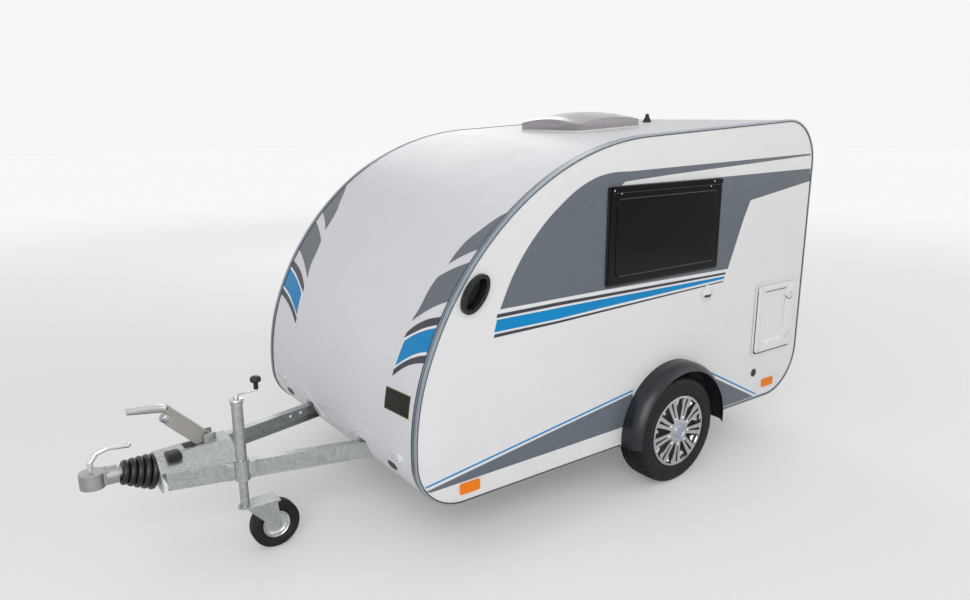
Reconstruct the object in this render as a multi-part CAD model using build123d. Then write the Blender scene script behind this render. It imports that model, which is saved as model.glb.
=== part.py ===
"""A small teardrop travel caravan on one torsion axle, with its A-frame drawbar, overrun coupling,
jockey wheel and four corner steadies.

Millimetres, +X forwards, +Y to the left, +Z up, and the floor at Z = 0. Every X below is counted from
the wheel axis, and export moves all pieces back by MIDDLE_X, so that the origin lies on the floor
under the middle of the whole caravan.
"""
import math
import os

from build123d import *

# Body shell
HALF_W = 794
BODY_BOTTOM = 251
REAR_X = -1175
SKIRT_FRONT_X = 1288
WALL = 30
# the front of the outline, from the skirt up to the roof: radius and turn of each tangent arc
FRONT_ARCS = ((236, 87.1), (1050, 23.4), (1377, 52.9), (1500, 13.6))
ROOF_RISE = 3.0
REAR_TOP_R = 250
REAR_BOTTOM_R = 270
ROOF_SPLIT_X = -905
FLOOR_Z = 420
FLOOR_T = 30
INNER_Y = HALF_W - WALL

# Wheels and axle
WHEEL_R = 285
TYRE_W = 165
WHEEL_Y = 811.5
RIM_R = 178
TRIM_R = 190
ARCH_R = 332
MUDGUARD_R = 355
# the guard stands a little behind the wheel's middle
GUARD_X = -35
MUDGUARD_W = 112
HOUSING_IN = 105
AXLE_TUBE_X = 150
AXLE_TUBE_Z = 300
AXLE_TUBE_R = 40
RAIL_Z = 340

# Drawbar
BEAM_H = 80
BEAM_FLANGE = 41
BEAM_T = 4
BEAM_SLOPE = 14.3
BEAM_REF = (1527, 310)
BEAM_FRONT_X = 2335
BEAM_REAR_X = 330
COUPLING_Z = 432
BALL_X = 2600
BALL_D = 50
NOSE_X = 2650

# Jockey wheel, standing on the floor
JOCKEY_X = 2052
JOCKEY_Y = 218
JOCKEY_TUBE_R = 24
INNER_TUBE_R = 19
JOCKEY_TOP = 728
JOCKEY_TUBE_LOW = 386
JOCKEY_R = 110
JOCKEY_TRAIL = 125
JOCKEY_CROWN_Z = 226

# Rear lamps stand this far proud of the rear wall, and set the rear end of the caravan
LAMP_OUT = 30
MIDDLE_X = (NOSE_X + REAR_X - LAMP_OUT) / 2

os.makedirs("parts", exist_ok=True)
ORIGIN_SHIFT = Pos(-MIDDLE_X, 0, 0)


def write(node, *solids):
    """One node to one file, as separate solids where there are several."""
    moved = [ORIGIN_SHIFT * body for solid in solids for body in solid.solids()]
    export_step(moved[0] if len(moved) == 1 else Compound(moved), f"parts/{node}.step")


def block(x, y, z):
    """A box between two places on each axis."""
    size = [abs(pair[1] - pair[0]) for pair in (x, y, z)]
    middle = [(pair[1] + pair[0]) / 2 for pair in (x, y, z)]
    return Pos(*middle) * Box(*size)


def rod(start, end, radius):
    """A round bar from one point to another."""
    start = Vector(*start)
    along = Vector(*end) - start
    bar = Cylinder(radius, along.length, align=(Align.CENTER, Align.CENTER, Align.MIN))
    return Plane(origin=start, z_dir=along) * bar


def upright(x, y, z, radius):
    """An upright round bar between two heights."""
    return rod((x, y, z[0]), (x, y, z[1]), radius)


def slab(face, y_low, y_high):
    """A face drawn in X and Z, made a plate between two places on Y."""
    return Pos(0, y_high, 0) * extrude(Plane.XZ * face, y_high - y_low)


def other_side(solid):
    return mirror(solid, Plane.XZ)


def ring_section(points):
    """A section of radius and axial place, turned about the Y axis."""
    return revolve(make_face(Polyline(*points, close=True)), Axis.Y)


# The body's outline

def front_profile(inset=0):
    """The tangent arcs from the skirt up to the roof, and the point where the last one ends."""
    edges = []
    point, heading = Vector(SKIRT_FRONT_X, BODY_BOTTOM + inset), 0
    for radius, turn in FRONT_ARCS:
        tangent = (math.cos(math.radians(heading)), math.sin(math.radians(heading)))
        arc = JernArc(point, tangent, radius - inset, turn)
        edges.append(arc)
        point, heading = arc @ 1, heading + turn
    return edges, point


def roof_z(x):
    """Height of the straight roof line at X."""
    roof_start = front_profile()[1]
    return roof_start.Y + (roof_start.X - x) * math.tan(math.radians(ROOF_RISE))


def outline(inset=0):
    """The side view of the body: arcs from the skirt to the roof, the rising roof, both rear corners."""
    edges, point = front_profile(inset)
    top_r, low_r = REAR_TOP_R - inset, REAR_BOTTOM_R - inset
    rise = math.radians(ROOF_RISE)
    roof_end_x = REAR_X + inset + top_r * (1 + math.sin(rise))
    roof_end = Vector(roof_end_x, point.Y + (point.X - roof_end_x) * math.tan(rise))
    edges.append(Line(point, roof_end))
    corner = JernArc(roof_end, (-math.cos(rise), math.sin(rise)), top_r, 90 + ROOF_RISE)
    edges.append(corner)
    wall_end = Vector((corner @ 1).X, BODY_BOTTOM + inset + low_r)
    edges.append(Line(corner @ 1, wall_end))
    low = JernArc(wall_end, (0, -1), low_r, 90)
    edges.append(low)
    edges.append(Line(low @ 1, Vector(SKIRT_FRONT_X, BODY_BOTTOM + inset)))
    return make_face(edges)


def rectangle(x, z, radius):
    """A rounded rectangle in the side view."""
    middle = Pos((x[0] + x[1]) / 2, (z[0] + z[1]) / 2)
    return middle * RectangleRounded(abs(x[1] - x[0]), abs(z[1] - z[0]), radius)


# Windows: a black frame through the wall, a flange outside and a hinged pane over it

FRAME_FLANGE = 12
FRAME_W = 28
FRAME_PROUD = 8
PANE_T = 7
PANE_INSET = 9
RAIL_H = 20
# each window: wall plane, width, height
WINDOW_Z = (1096, 1566)
LEFT_WINDOW_X = (-345, 476)
RIGHT_WINDOW_X = (-640, 181)
REAR_WINDOW_Z = (1110, 1510)
REAR_WINDOW_W = 900


def wall_plane(side, along, z):
    middle = (z[0] + z[1]) / 2
    if side == "left":
        return Plane(origin=(along, HALF_W, middle), x_dir=(-1, 0, 0), z_dir=(0, 1, 0))
    if side == "right":
        return Plane(origin=(along, -HALF_W, middle), x_dir=(1, 0, 0), z_dir=(0, -1, 0))
    return Plane(origin=(REAR_X, along, middle), x_dir=(0, -1, 0), z_dir=(-1, 0, 0))


def window(plane, width, height):
    """The hole in the wall, the frame and the pane of one window."""
    outer = RectangleRounded(width, height, 14)
    hole = RectangleRounded(width - 2 * FRAME_FLANGE, height - 2 * FRAME_FLANGE, 12)
    inner = RectangleRounded(width - 2 * FRAME_W, height - 2 * FRAME_W, 10)
    pane = RectangleRounded(width - 2 * PANE_INSET, height - 2 * PANE_INSET, 12)
    cut = plane * Pos(0, 0, -WALL - 1) * extrude(hole, WALL + 2)
    frame = Pos(0, 0, -WALL - 5) * extrude(hole - inner, WALL + 5)
    frame += extrude(outer - inner, FRAME_PROUD)
    sheet = Pos(0, 0, FRAME_PROUD) * extrude(pane, PANE_T)
    sheet = fillet(sheet.edges().group_by(Axis.Z)[-1], 4)
    bulge = Pos(0, -6, FRAME_PROUD + PANE_T - 1) * extrude(RectangleRounded(width - 96, height - 96, 34), 6)
    sheet += fillet(bulge.edges().group_by(Axis.Z)[-1], 4.5)
    rail = Pos(0, height / 2 - RAIL_H / 2 - 2, FRAME_PROUD + PANE_T) * Box(width - 30, RAIL_H, 8,
        align=(Align.CENTER, Align.CENTER, Align.MIN))
    return cut, plane * frame, plane * sheet + plane * rail


left_hole, left_frame, left_pane = window(wall_plane("left", sum(LEFT_WINDOW_X) / 2, WINDOW_Z),
    LEFT_WINDOW_X[1] - LEFT_WINDOW_X[0], WINDOW_Z[1] - WINDOW_Z[0])
right_hole, right_frame, right_pane = window(wall_plane("right", sum(RIGHT_WINDOW_X) / 2, WINDOW_Z),
    RIGHT_WINDOW_X[1] - RIGHT_WINDOW_X[0], WINDOW_Z[1] - WINDOW_Z[0])
rear_hole, rear_frame, rear_pane = window(wall_plane("rear", 0, REAR_WINDOW_Z),
    REAR_WINDOW_W, REAR_WINDOW_Z[1] - REAR_WINDOW_Z[0])

# Entrance door in the right side

DOOR_X = (430, 1020)
DOOR_Z = (452, 1482)
DOOR_GAP = 4
DOOR_FRAME_W = 22
DOOR_TOP_R = 250
DOOR_LOW_R = 40
DOOR_PROUD = 4
DOOR_HINGE_X = DOOR_X[1] + 8
DOOR_HINGE_Y = -HALF_W - 15
DOOR_WINDOW_Z = (1010, 1380)


def door_outline(grow=0):
    """The door's shape: square corners behind, a wide curve that follows the roof in front."""
    face = Pos(sum(DOOR_X) / 2, sum(DOOR_Z) / 2) * Rectangle(
        DOOR_X[1] - DOOR_X[0] + 2 * grow, DOOR_Z[1] - DOOR_Z[0] + 2 * grow)
    corners = face.vertices().sort_by(lambda v: v.X + v.Y)
    face = fillet(corners[-1], DOOR_TOP_R + grow)
    square = [v for v in face.vertices() if v.X < DOOR_X[0] - grow + 1 or v.Y < DOOR_Z[0] - grow + 1]
    return fillet(square, DOOR_LOW_R + grow)


door_leaf = slab(door_outline(), -HALF_W - DOOR_PROUD, -HALF_W + WALL - 3)
door_hole = slab(door_outline(DOOR_GAP + DOOR_FRAME_W - 6), -HALF_W - 1, -HALF_W + WALL + 1)
door_frame = slab(door_outline(DOOR_GAP + DOOR_FRAME_W - 6) - door_outline(DOOR_GAP),
    -HALF_W, -HALF_W + WALL)
door_frame += slab(door_outline(DOOR_GAP + DOOR_FRAME_W) - door_outline(DOOR_GAP), -HALF_W - 5, -HALF_W)
# the leaf's own window and its through handle
DOOR_WINDOW_X = (DOOR_X[0] + 85, DOOR_X[1] - 105)
DOOR_WINDOW_EDGE = 14
DOOR_FACE_Y = -HALF_W - DOOR_PROUD
door_hole_face = rectangle(DOOR_WINDOW_X, DOOR_WINDOW_Z, 40)
door_flange_face = rectangle((DOOR_WINDOW_X[0] - DOOR_WINDOW_EDGE, DOOR_WINDOW_X[1] + DOOR_WINDOW_EDGE),
    (DOOR_WINDOW_Z[0] - DOOR_WINDOW_EDGE, DOOR_WINDOW_Z[1] + DOOR_WINDOW_EDGE), 50)
door_leaf -= slab(door_hole_face, -HALF_W - 20, -HALF_W + WALL)
door_glass = slab(door_hole_face, DOOR_FACE_Y + 2, -HALF_W + WALL - 6)
door_glass += slab(door_flange_face, DOOR_FACE_Y - 5, DOOR_FACE_Y)
HANDLE_X = DOOR_X[0] + 60
HANDLE_Z = 900
door_handle = slab(rectangle((HANDLE_X - 22, HANDLE_X + 22), (HANDLE_Z - 75, HANDLE_Z + 75), 20),
    DOOR_FACE_Y - 8, DOOR_FACE_Y)
grip = slab(rectangle((HANDLE_X - 12, HANDLE_X + 12), (HANDLE_Z - 60, HANDLE_Z + 45), 11),
    DOOR_FACE_Y - 30, DOOR_FACE_Y - 20)
grip_foot = block((HANDLE_X - 10, HANDLE_X + 10), (DOOR_FACE_Y - 22, DOOR_FACE_Y - 7),
    (HANDLE_Z + 15, HANDLE_Z + 42))
door_handle += grip + grip_foot
# hinges: knuckles on the frame, a leaf plate on the door, one pin line
HINGE_ZS = (560, 930, 1200)
HINGE_KNUCKLE = 22
HINGE_R = 7
for z in HINGE_ZS:
    top = z + HINGE_KNUCKLE
    knuckle = upright(DOOR_HINGE_X, DOOR_HINGE_Y, (z, top), HINGE_R)
    arm = block((DOOR_X[1] - 34, DOOR_HINGE_X), (DOOR_HINGE_Y - 2, DOOR_HINGE_Y + 4), (z, top))
    pad = block((DOOR_X[1] - 34, DOOR_X[1] - 6), (DOOR_HINGE_Y, DOOR_FACE_Y), (z, top))
    door_leaf += knuckle + arm + pad
    frame_z = (z - HINGE_KNUCKLE - 1, z - 1)
    low = upright(DOOR_HINGE_X, DOOR_HINGE_Y, frame_z, HINGE_R)
    foot = block((DOOR_HINGE_X - 3, DOOR_HINGE_X + 3), (DOOR_HINGE_Y, -HALF_W - 4), frame_z)
    door_frame += low + foot

# Service hatch in the left side

HATCH_X = (-1110, -749)
HATCH_Z = (530, 939)
HATCH_FRAME_W = 24
HATCH_GAP = 3
HATCH_HINGE_X = HATCH_X[1] - HATCH_FRAME_W - 1.5
HATCH_HINGE_Y = HALF_W + 11
HATCH_HINGE_R = 4


def hatch_outline(inset):
    return rectangle((HATCH_X[0] + inset, HATCH_X[1] - inset), (HATCH_Z[0] + inset, HATCH_Z[1] - inset),
        max(30 - inset, 10))


hatch_hole = slab(hatch_outline(6), HALF_W - WALL - 1, HALF_W + 1)
hatch_frame = slab(hatch_outline(6) - hatch_outline(HATCH_FRAME_W), HALF_W - WALL - 4, HALF_W)
hatch_frame += slab(hatch_outline(0) - hatch_outline(HATCH_FRAME_W), HALF_W, HALF_W + 5)
hatch_door = slab(hatch_outline(HATCH_FRAME_W + HATCH_GAP), HALF_W - WALL + 4, HALF_W + 5)
hinge_depth = (HALF_W + 5, HATCH_HINGE_Y + 2)
for z in (620, 850):
    leaf_z = (z, z + 18)
    frame_z = (z - 19, z - 1)
    hatch_door += upright(HATCH_HINGE_X, HATCH_HINGE_Y, leaf_z, HATCH_HINGE_R)
    hatch_door += block((HATCH_HINGE_X - 26, HATCH_HINGE_X), hinge_depth, leaf_z)
    hatch_frame += upright(HATCH_HINGE_X, HATCH_HINGE_Y, frame_z, HATCH_HINGE_R)
    hatch_frame += block((HATCH_HINGE_X, HATCH_HINGE_X + 12), hinge_depth, frame_z)
LOCK_X = HATCH_X[0] + 62
for z in (HATCH_Z[0] + 70, HATCH_Z[1] - 70):
    hatch_door += rod((LOCK_X, HALF_W + 4, z), (LOCK_X, HALF_W + 9, z), 16)

# Portholes in both sides, side vents and the drain

PORT_X, PORT_Z = 1227, 1175
PORT_LONG = 92
PORT_SHORT = 52
PORT_LEAN = 126.5
PORT_PROUD = 22


def port_oval(inset):
    """The porthole's leaning oval, drawn in by an inset."""
    return Pos(PORT_X, PORT_Z) * Rot(0, 0, PORT_LEAN) * Ellipse(PORT_LONG - inset, PORT_SHORT - inset)


port_cut = port_oval(10)
porthole_ring = slab(port_oval(10) - port_oval(18), HALF_W - WALL - 5, HALF_W)
porthole_ring += slab(port_oval(0) - port_oval(18), HALF_W, HALF_W + PORT_PROUD)
porthole_glass = slab(port_oval(18), HALF_W - 12, HALF_W - 4)
VENT_X, VENT_Z = -287, 964
VENT_R = 44
DRAIN_X, DRAIN_Z = -765, 418
side_vent = rod((VENT_X, HALF_W, VENT_Z), (VENT_X, HALF_W + 9, VENT_Z), VENT_R)
side_vent -= rod((VENT_X, HALF_W + 5, VENT_Z), (VENT_X, HALF_W + 10, VENT_Z), VENT_R - 10)
drain = rod((DRAIN_X, HALF_W, DRAIN_Z), (DRAIN_X, HALF_W + 6, DRAIN_Z), 27)
drain -= rod((DRAIN_X, HALF_W + 2, DRAIN_Z), (DRAIN_X, HALF_W + 7, DRAIN_Z), 19)

# Side panels: the whole outline, with the wheel arch and every opening cut

arch = Pos(GUARD_X, WHEEL_R) * Circle(ARCH_R) + Pos(GUARD_X, WHEEL_R / 2) * Rectangle(2 * ARCH_R, WHEEL_R)
side_face = outline() - arch - port_cut
side_panel_left = slab(side_face, INNER_Y, HALF_W) - left_hole - hatch_hole
side_panel_right = slab(side_face, -HALF_W, -INNER_Y) - right_hole - door_hole

# The curved skin between the side panels: front and roof in one piece, rear in another

skin = outline() - outline(WALL)
below_floor = rectangle((ROOF_SPLIT_X, SKIRT_FRONT_X), (-FLOOR_Z, FLOOR_Z), 1)
rear_part = Pos(ROOF_SPLIT_X - 1000, 1000) * Rectangle(2000, 3000)
front_roof_shell = slab(skin - below_floor - rear_part, -INNER_Y, INNER_Y)
rear_shell = slab((skin - below_floor) & rear_part, -INNER_Y, INNER_Y) - rear_hole

# Drawbar beams, mirrored: a U section open inwards, its web outside

slope = math.radians(BEAM_SLOPE)


def beam_y(x):
    """Y of the outer face of the left beam."""
    return BEAM_REF[1] + (BEAM_REF[0] - x) * math.tan(slope)


beam_length = (BEAM_FRONT_X - BEAM_REAR_X) / math.cos(slope)
section = Rectangle(BEAM_FLANGE, BEAM_H, align=Align.MIN)
section -= Pos(BEAM_T, BEAM_T) * Rectangle(BEAM_FLANGE, BEAM_H - 2 * BEAM_T, align=Align.MIN)
# the section's x runs inwards from the outer face, its y runs down
beam_plane = Plane(origin=(BEAM_REAR_X, beam_y(BEAM_REAR_X), RAIL_Z + BEAM_H),
    x_dir=(-math.sin(slope), -math.cos(slope), 0), z_dir=(math.cos(slope), -math.sin(slope), 0))
drawbar_left = extrude(beam_plane * section, beam_length)
for x in (1570, 1632):
    drawbar_left -= rod((x, beam_y(x) - 12, RAIL_Z + 40), (x, beam_y(x) + 12, RAIL_Z + 40), 7)

# Notches where the beams leave the skirt
NOTCH_SIDE = 24
notch_y = (beam_y(1510) - BEAM_FLANGE - NOTCH_SIDE, beam_y(1510) + NOTCH_SIDE)
for sign in (1, -1):
    front_roof_shell -= block((1400, 1600), (sign * notch_y[0], sign * notch_y[1]), (200, FLOOR_Z + 15))

# Floor, wheel housings and mudguards

floor_face = outline(WALL) & Pos(0, FLOOR_Z + FLOOR_T / 2) * Rectangle(4000, FLOOR_T)
floor = slab(floor_face, -INNER_Y, INNER_Y)
housing_y = (INNER_Y - HOUSING_IN, INNER_Y)
wheel_room = rod((GUARD_X, housing_y[0], WHEEL_R), (GUARD_X, housing_y[1], WHEEL_R), ARCH_R + 6)
floor -= wheel_room + other_side(wheel_room)
housing = wheel_room - rod((GUARD_X, housing_y[0] + 5, WHEEL_R), (GUARD_X, housing_y[1] + 1, WHEEL_R), ARCH_R)
housing -= block((-500, 500), (0, HALF_W), (-100, FLOOR_Z))
GUARD_T = 4
GUARD_LIP_R = 317
# half of the guard's section, as radius and distance from the wall: a flat root, then a wide round shoulder
guard_root = (MUDGUARD_R, 0)
guard_bend = (MUDGUARD_R - 1, 34)
guard_shoulder = (MUDGUARD_R - 13, 88)
guard_lip = (GUARD_LIP_R, MUDGUARD_W)
guard_outer = [Line(guard_root, guard_bend), ThreePointArc(guard_bend, guard_shoulder, guard_lip)]
inner_root = (MUDGUARD_R - GUARD_T, 0)
inner_bend = (MUDGUARD_R - 1 - GUARD_T, 34)
inner_shoulder = (MUDGUARD_R - 16.5, 85)
inner_lip = (GUARD_LIP_R - 1, MUDGUARD_W - GUARD_T)
guard_inner = [Line(guard_lip, inner_lip), ThreePointArc(inner_lip, inner_shoulder, inner_bend),
    Line(inner_bend, inner_root), Line(inner_root, guard_root)]
mudguard = Pos(GUARD_X, HALF_W, WHEEL_R) * revolve(make_face(guard_outer + guard_inner), Axis.Y)
mudguard -= block((-500, 500), (HALF_W - 1, HALF_W + 200), (-200, BODY_BOTTOM))

# Edge trim: a strip over each long joint of skin and side panel

TRIM_TOP = 32
TRIM_OUT = 3
TRIM_SIDE = 5
trim = slab(outline(-TRIM_OUT) - outline(), HALF_W - TRIM_TOP, HALF_W + TRIM_OUT)
trim += slab(outline(0.001) - outline(TRIM_SIDE), HALF_W, HALF_W + TRIM_OUT)
gap_below = block((GUARD_X - MUDGUARD_R - 5, GUARD_X + MUDGUARD_R + 5), (0, HALF_W + 50), (0, FLOOR_Z))
trim -= gap_below
trim -= block((ROOF_SPLIT_X, SKIRT_FRONT_X), (0, INNER_Y - 2), (0, FLOOR_Z))

# Chassis under the floor: rails behind the drawbar, cross members, axle tube with trailing arms

RAIL_Y = beam_y(BEAM_REAR_X)
RAIL_FRONT_X = BEAM_REAR_X - 11
RAIL_REAR_X = -1040
rail = block((RAIL_REAR_X, RAIL_FRONT_X), (RAIL_Y - BEAM_FLANGE, RAIL_Y), (RAIL_Z, FLOOR_Z))
rail -= block((RAIL_REAR_X - 1, RAIL_FRONT_X + 1), (RAIL_Y - BEAM_FLANGE - 1, RAIL_Y - BEAM_T),
    (RAIL_Z + BEAM_T, FLOOR_Z - BEAM_T))
cross_half = RAIL_Y - BEAM_FLANGE
cross_members = [block((x, x + 40), (-cross_half, cross_half), (RAIL_Z + 20, FLOOR_Z))
    for x in (-1000, -420, RAIL_FRONT_X - 40)]

STUB_R = 20
axle = rod((AXLE_TUBE_X, -620, AXLE_TUBE_Z), (AXLE_TUBE_X, 620, AXLE_TUBE_Z), AXLE_TUBE_R)
for sign in (1, -1):
    arm = rod((AXLE_TUBE_X, sign * 620, AXLE_TUBE_Z), (AXLE_TUBE_X, sign * 662, AXLE_TUBE_Z), 34)
    arm += rod((0, sign * 625, WHEEL_R), (0, sign * 662, WHEEL_R), 32)
    arm += block((0, AXLE_TUBE_X), (sign * 625, sign * 660), (WHEEL_R - 24, WHEEL_R + 28))
    plate = rod((0, sign * 662, WHEEL_R), (0, sign * 705, WHEEL_R), 122)
    stub = rod((0, sign * 682, WHEEL_R), (0, sign * 758, WHEEL_R), STUB_R)
    bracket = block((AXLE_TUBE_X - 60, AXLE_TUBE_X + 60), (sign * (RAIL_Y - 60), sign * (RAIL_Y - 5)),
        (AXLE_TUBE_Z + 10, RAIL_Z))
    axle += arm + plate + stub + bracket

# Wheels


def tyre(radius, bead_r, width):
    """A rounded tyre section: bead, bulging sidewall, shoulder and flat crown, turned about Y."""
    half = width / 2
    side = radius - bead_r
    points = [(bead_r, 0.7 * half), (bead_r + 0.1 * side, 0.72 * half), (bead_r + 0.45 * side, half),
        (bead_r + 0.83 * side, 0.86 * half), (bead_r + 0.95 * side, 0.76 * half), (radius, 0.58 * half)]
    inner = [(r, -axial) for r, axial in points]
    edges = [Line(inner[0], points[0])]
    for side_points in (points, inner):
        edges.append(Line(side_points[0], side_points[1]))
        edges.append(ThreePointArc(*side_points[1:4]))
        edges.append(ThreePointArc(*side_points[3:6]))
    edges.append(Line(points[5], inner[5]))
    return revolve(make_face(edges), Axis.Y)


road_tyre = tyre(WHEEL_R, RIM_R, TYRE_W)
# sections of radius and distance along the axle, positive on the outer side
RIM_HALF = 61
rim = ring_section([(RIM_R - 6, -RIM_HALF - 5), (RIM_R + 8, -RIM_HALF - 5), (RIM_R + 8, -RIM_HALF - 1),
    (RIM_R, -RIM_HALF + 2), (RIM_R, RIM_HALF - 2), (RIM_R + 8, RIM_HALF + 1), (RIM_R + 8, RIM_HALF + 5),
    (RIM_R - 6, RIM_HALF + 5)])
rim += ring_section([(33, 22), (RIM_R - 3, 22), (RIM_R - 3, 28), (33, 28)])
BRAKE_DRUM_R = 115
drum_bore = STUB_R + 0.1
drum = ring_section([(0, 22), (60, 22), (60, -28), (BRAKE_DRUM_R, -28), (BRAKE_DRUM_R, -96), (drum_bore, -96),
    (drum_bore, -50), (0, -50)])
# the wheel trim: a shallow dish with a raised cap, cut through by nine pairs of slots
SPOKES = 9
cover = ring_section([(0, 70), (30, 70), (60, 66), (150, 72), (176, 74), (TRIM_R, 74), (TRIM_R, 79),
    (184, 83), (170, 80), (150, 79), (62, 74), (45, 78), (0, 80)])
SLOT_R = (74, 160)
SLOT_HALF = ((5, 9), (9, 17))
for number in range(2 * SPOKES):
    low_half, high_half = SLOT_HALF[number % 2]
    shape = Polygon((SLOT_R[0], -low_half), (SLOT_R[1], -high_half), (SLOT_R[1], high_half),
        (SLOT_R[0], low_half), align=None)
    cover -= Pos(0, 90, 0) * extrude(Plane.XZ * (Rot(0, 0, 180 / SPOKES * number) * shape), 60)

# Drawbar head: overrun housing, bellows, coupling head and handle, handbrake lever

HOUSING_REAR_X = 2040
HOUSING_FRONT_X = 2356
HOUSING_TOP_Z = 490


def housing_section(x, ridge_half, top_z):
    """The pressed cover at X: flat ridge, sloping shoulders down to the outer edges of both beams."""
    foot = beam_y(x) - 3
    return Plane(origin=(x, 0, 0), x_dir=(0, 1, 0), z_dir=(1, 0, 0)) * make_face(Polyline(
        (-foot, FLOOR_Z), (foot, FLOOR_Z), (foot, FLOOR_Z + 6), (ridge_half, top_z), (-ridge_half, top_z),
        (-foot, FLOOR_Z + 6), close=True))


overrun = loft([housing_section(HOUSING_REAR_X, 50, HOUSING_TOP_Z),
    housing_section(HOUSING_FRONT_X, 38, HOUSING_TOP_Z - 15)], ruled=True)
long_edges = overrun.edges().filter_by(lambda edge: edge.length > 250)
overrun = fillet([edge for edge in long_edges if edge.center().Z > HOUSING_TOP_Z - 10], 9)
overrun += block((HOUSING_REAR_X + 120, HOUSING_FRONT_X - 30), (-60, 60), (RAIL_Z + 12, FLOOR_Z + 1))
FRONT_PLATE_HALF = beam_y(HOUSING_FRONT_X) - 8
overrun += block((HOUSING_FRONT_X - 8, HOUSING_FRONT_X), (-FRONT_PLATE_HALF, FRONT_PLATE_HALF),
    (RAIL_Z - 8, FLOOR_Z + 1))
SHAFT_R = 25
# the rubber bellows: five folds that shrink forwards, on a line that climbs from the housing to the shaft
BELLOWS_REAR = (HOUSING_FRONT_X, 400)
BELLOWS_FRONT = (2492, 432)
FOLD_RADII = (78, 73, 67, 60, 53)
FOLD_DEPTH = 13
bellows_run = math.hypot(BELLOWS_FRONT[0] - BELLOWS_REAR[0], BELLOWS_FRONT[1] - BELLOWS_REAR[1])
fold_pitch = bellows_run / len(FOLD_RADII)
fold_edges = [Line((0, 0), (FOLD_RADII[0] - FOLD_DEPTH, 0))]
for number, radius in enumerate(FOLD_RADII):
    low = fold_edges[-1] @ 1
    crown = (radius, fold_pitch * (number + 0.5))
    valley = (radius - FOLD_DEPTH - 3, fold_pitch * (number + 1))
    fold_edges.append(ThreePointArc(low, crown, valley))
bellows_tip = fold_edges[-1] @ 1
fold_edges += [Line(bellows_tip, (0, bellows_tip.Y)), Line((0, bellows_tip.Y), (0, 0))]
bellows_axis = Vector(BELLOWS_FRONT[0] - BELLOWS_REAR[0], 0, BELLOWS_FRONT[1] - BELLOWS_REAR[1])
bellows_plane = Plane(origin=(BELLOWS_REAR[0], 0, BELLOWS_REAR[1]), x_dir=(0, 1, 0),
    z_dir=bellows_axis.cross(Vector(0, 1, 0)) * -1)
bellows = bellows_plane * revolve(make_face(fold_edges), Axis.Y)
shaft_bore = rod((HOUSING_FRONT_X - 50, 0, COUPLING_Z), (2600, 0, COUPLING_Z), SHAFT_R + 1)
bellows -= shaft_bore
bellows -= block((HOUSING_FRONT_X - 60, HOUSING_FRONT_X), (-120, 120), (250, 550))
head_start = BELLOWS_FRONT[0] + 11
shaft = rod((HOUSING_FRONT_X - 7, 0, COUPLING_Z), (head_start + 30, 0, COUPLING_Z), SHAFT_R)
head = rod((head_start, 0, COUPLING_Z), (head_start + 46, 0, COUPLING_Z), 38)
head += block((head_start + 36, BALL_X), (-31, 31), (COUPLING_Z - 22, COUPLING_Z + 32))
head += Pos(BALL_X, 0, COUPLING_Z) * Cylinder(NOSE_X - BALL_X, 64)
head -= Pos(BALL_X, 0, COUPLING_Z - 8) * Sphere(BALL_D / 2 + 0.5)
head -= Pos(BALL_X, 0, COUPLING_Z - 40) * Cylinder(BALL_D / 2 + 0.5, 64)
coupling_head = head + shaft
overrun -= rod((HOUSING_FRONT_X - 40, 0, COUPLING_Z), (HOUSING_FRONT_X + 1, 0, COUPLING_Z), SHAFT_R + 0.5)

# the bent bar that unlocks the ball: X and Z of each bend, with a round joint at each
HANDLE_R = 11
HANDLE_BENDS = ((2602, 476), (2600, 505), (2574, 540), (2530, 553), (2450, 546))
handle_places = [Vector(x, 0, z) for x, z in HANDLE_BENDS]
coupling_handle = rod(handle_places[0], handle_places[1], HANDLE_R)
coupling_handle += Pos(*handle_places[1]) * Sphere(HANDLE_R)
for start, end in zip(handle_places[1:], handle_places[2:]):
    coupling_handle = coupling_handle + rod(start, end, HANDLE_R) + Pos(*end) * Sphere(HANDLE_R)

LEVER_PIVOT = (2125, 0, 500)
LEVER_END = (2290, 0, 668)
LEVER_PIN_R = 8
LEVER_ROOM = 31
LEVER_W, LEVER_T, LEVER_TOP = 46, 3, 18
DEEP_LENGTH = 202
lever = rod((LEVER_PIVOT[0], -22, LEVER_PIVOT[2]), (LEVER_PIVOT[0], 22, LEVER_PIVOT[2]), 20)
lever_dir = Vector(*LEVER_END) - Vector(*LEVER_PIVOT)
lever_plane = Plane(origin=LEVER_PIVOT, z_dir=lever_dir, x_dir=(0, 1, 0))


def lever_channel(depth, length):
    """The lever's pressed channel: its web on top and its flanges hanging down to a depth."""
    middle = (LEVER_TOP - depth) / 2
    section = Pos(0, middle) * Rectangle(LEVER_W, LEVER_TOP + depth)
    section -= Pos(0, middle - LEVER_T) * Rectangle(LEVER_W - 2 * LEVER_T, LEVER_TOP + depth)
    return lever_plane * extrude(section, length)


lever += lever_channel(52, DEEP_LENGTH) + lever_channel(8, lever_dir.length)
# the grip is a bright tube that bends forwards from the channel's end
lever += rod((2262, 0, 640), LEVER_END, 14) + Pos(*LEVER_END) * Sphere(14)
lever += rod(LEVER_END, (2440, 0, 690), 14)
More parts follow.
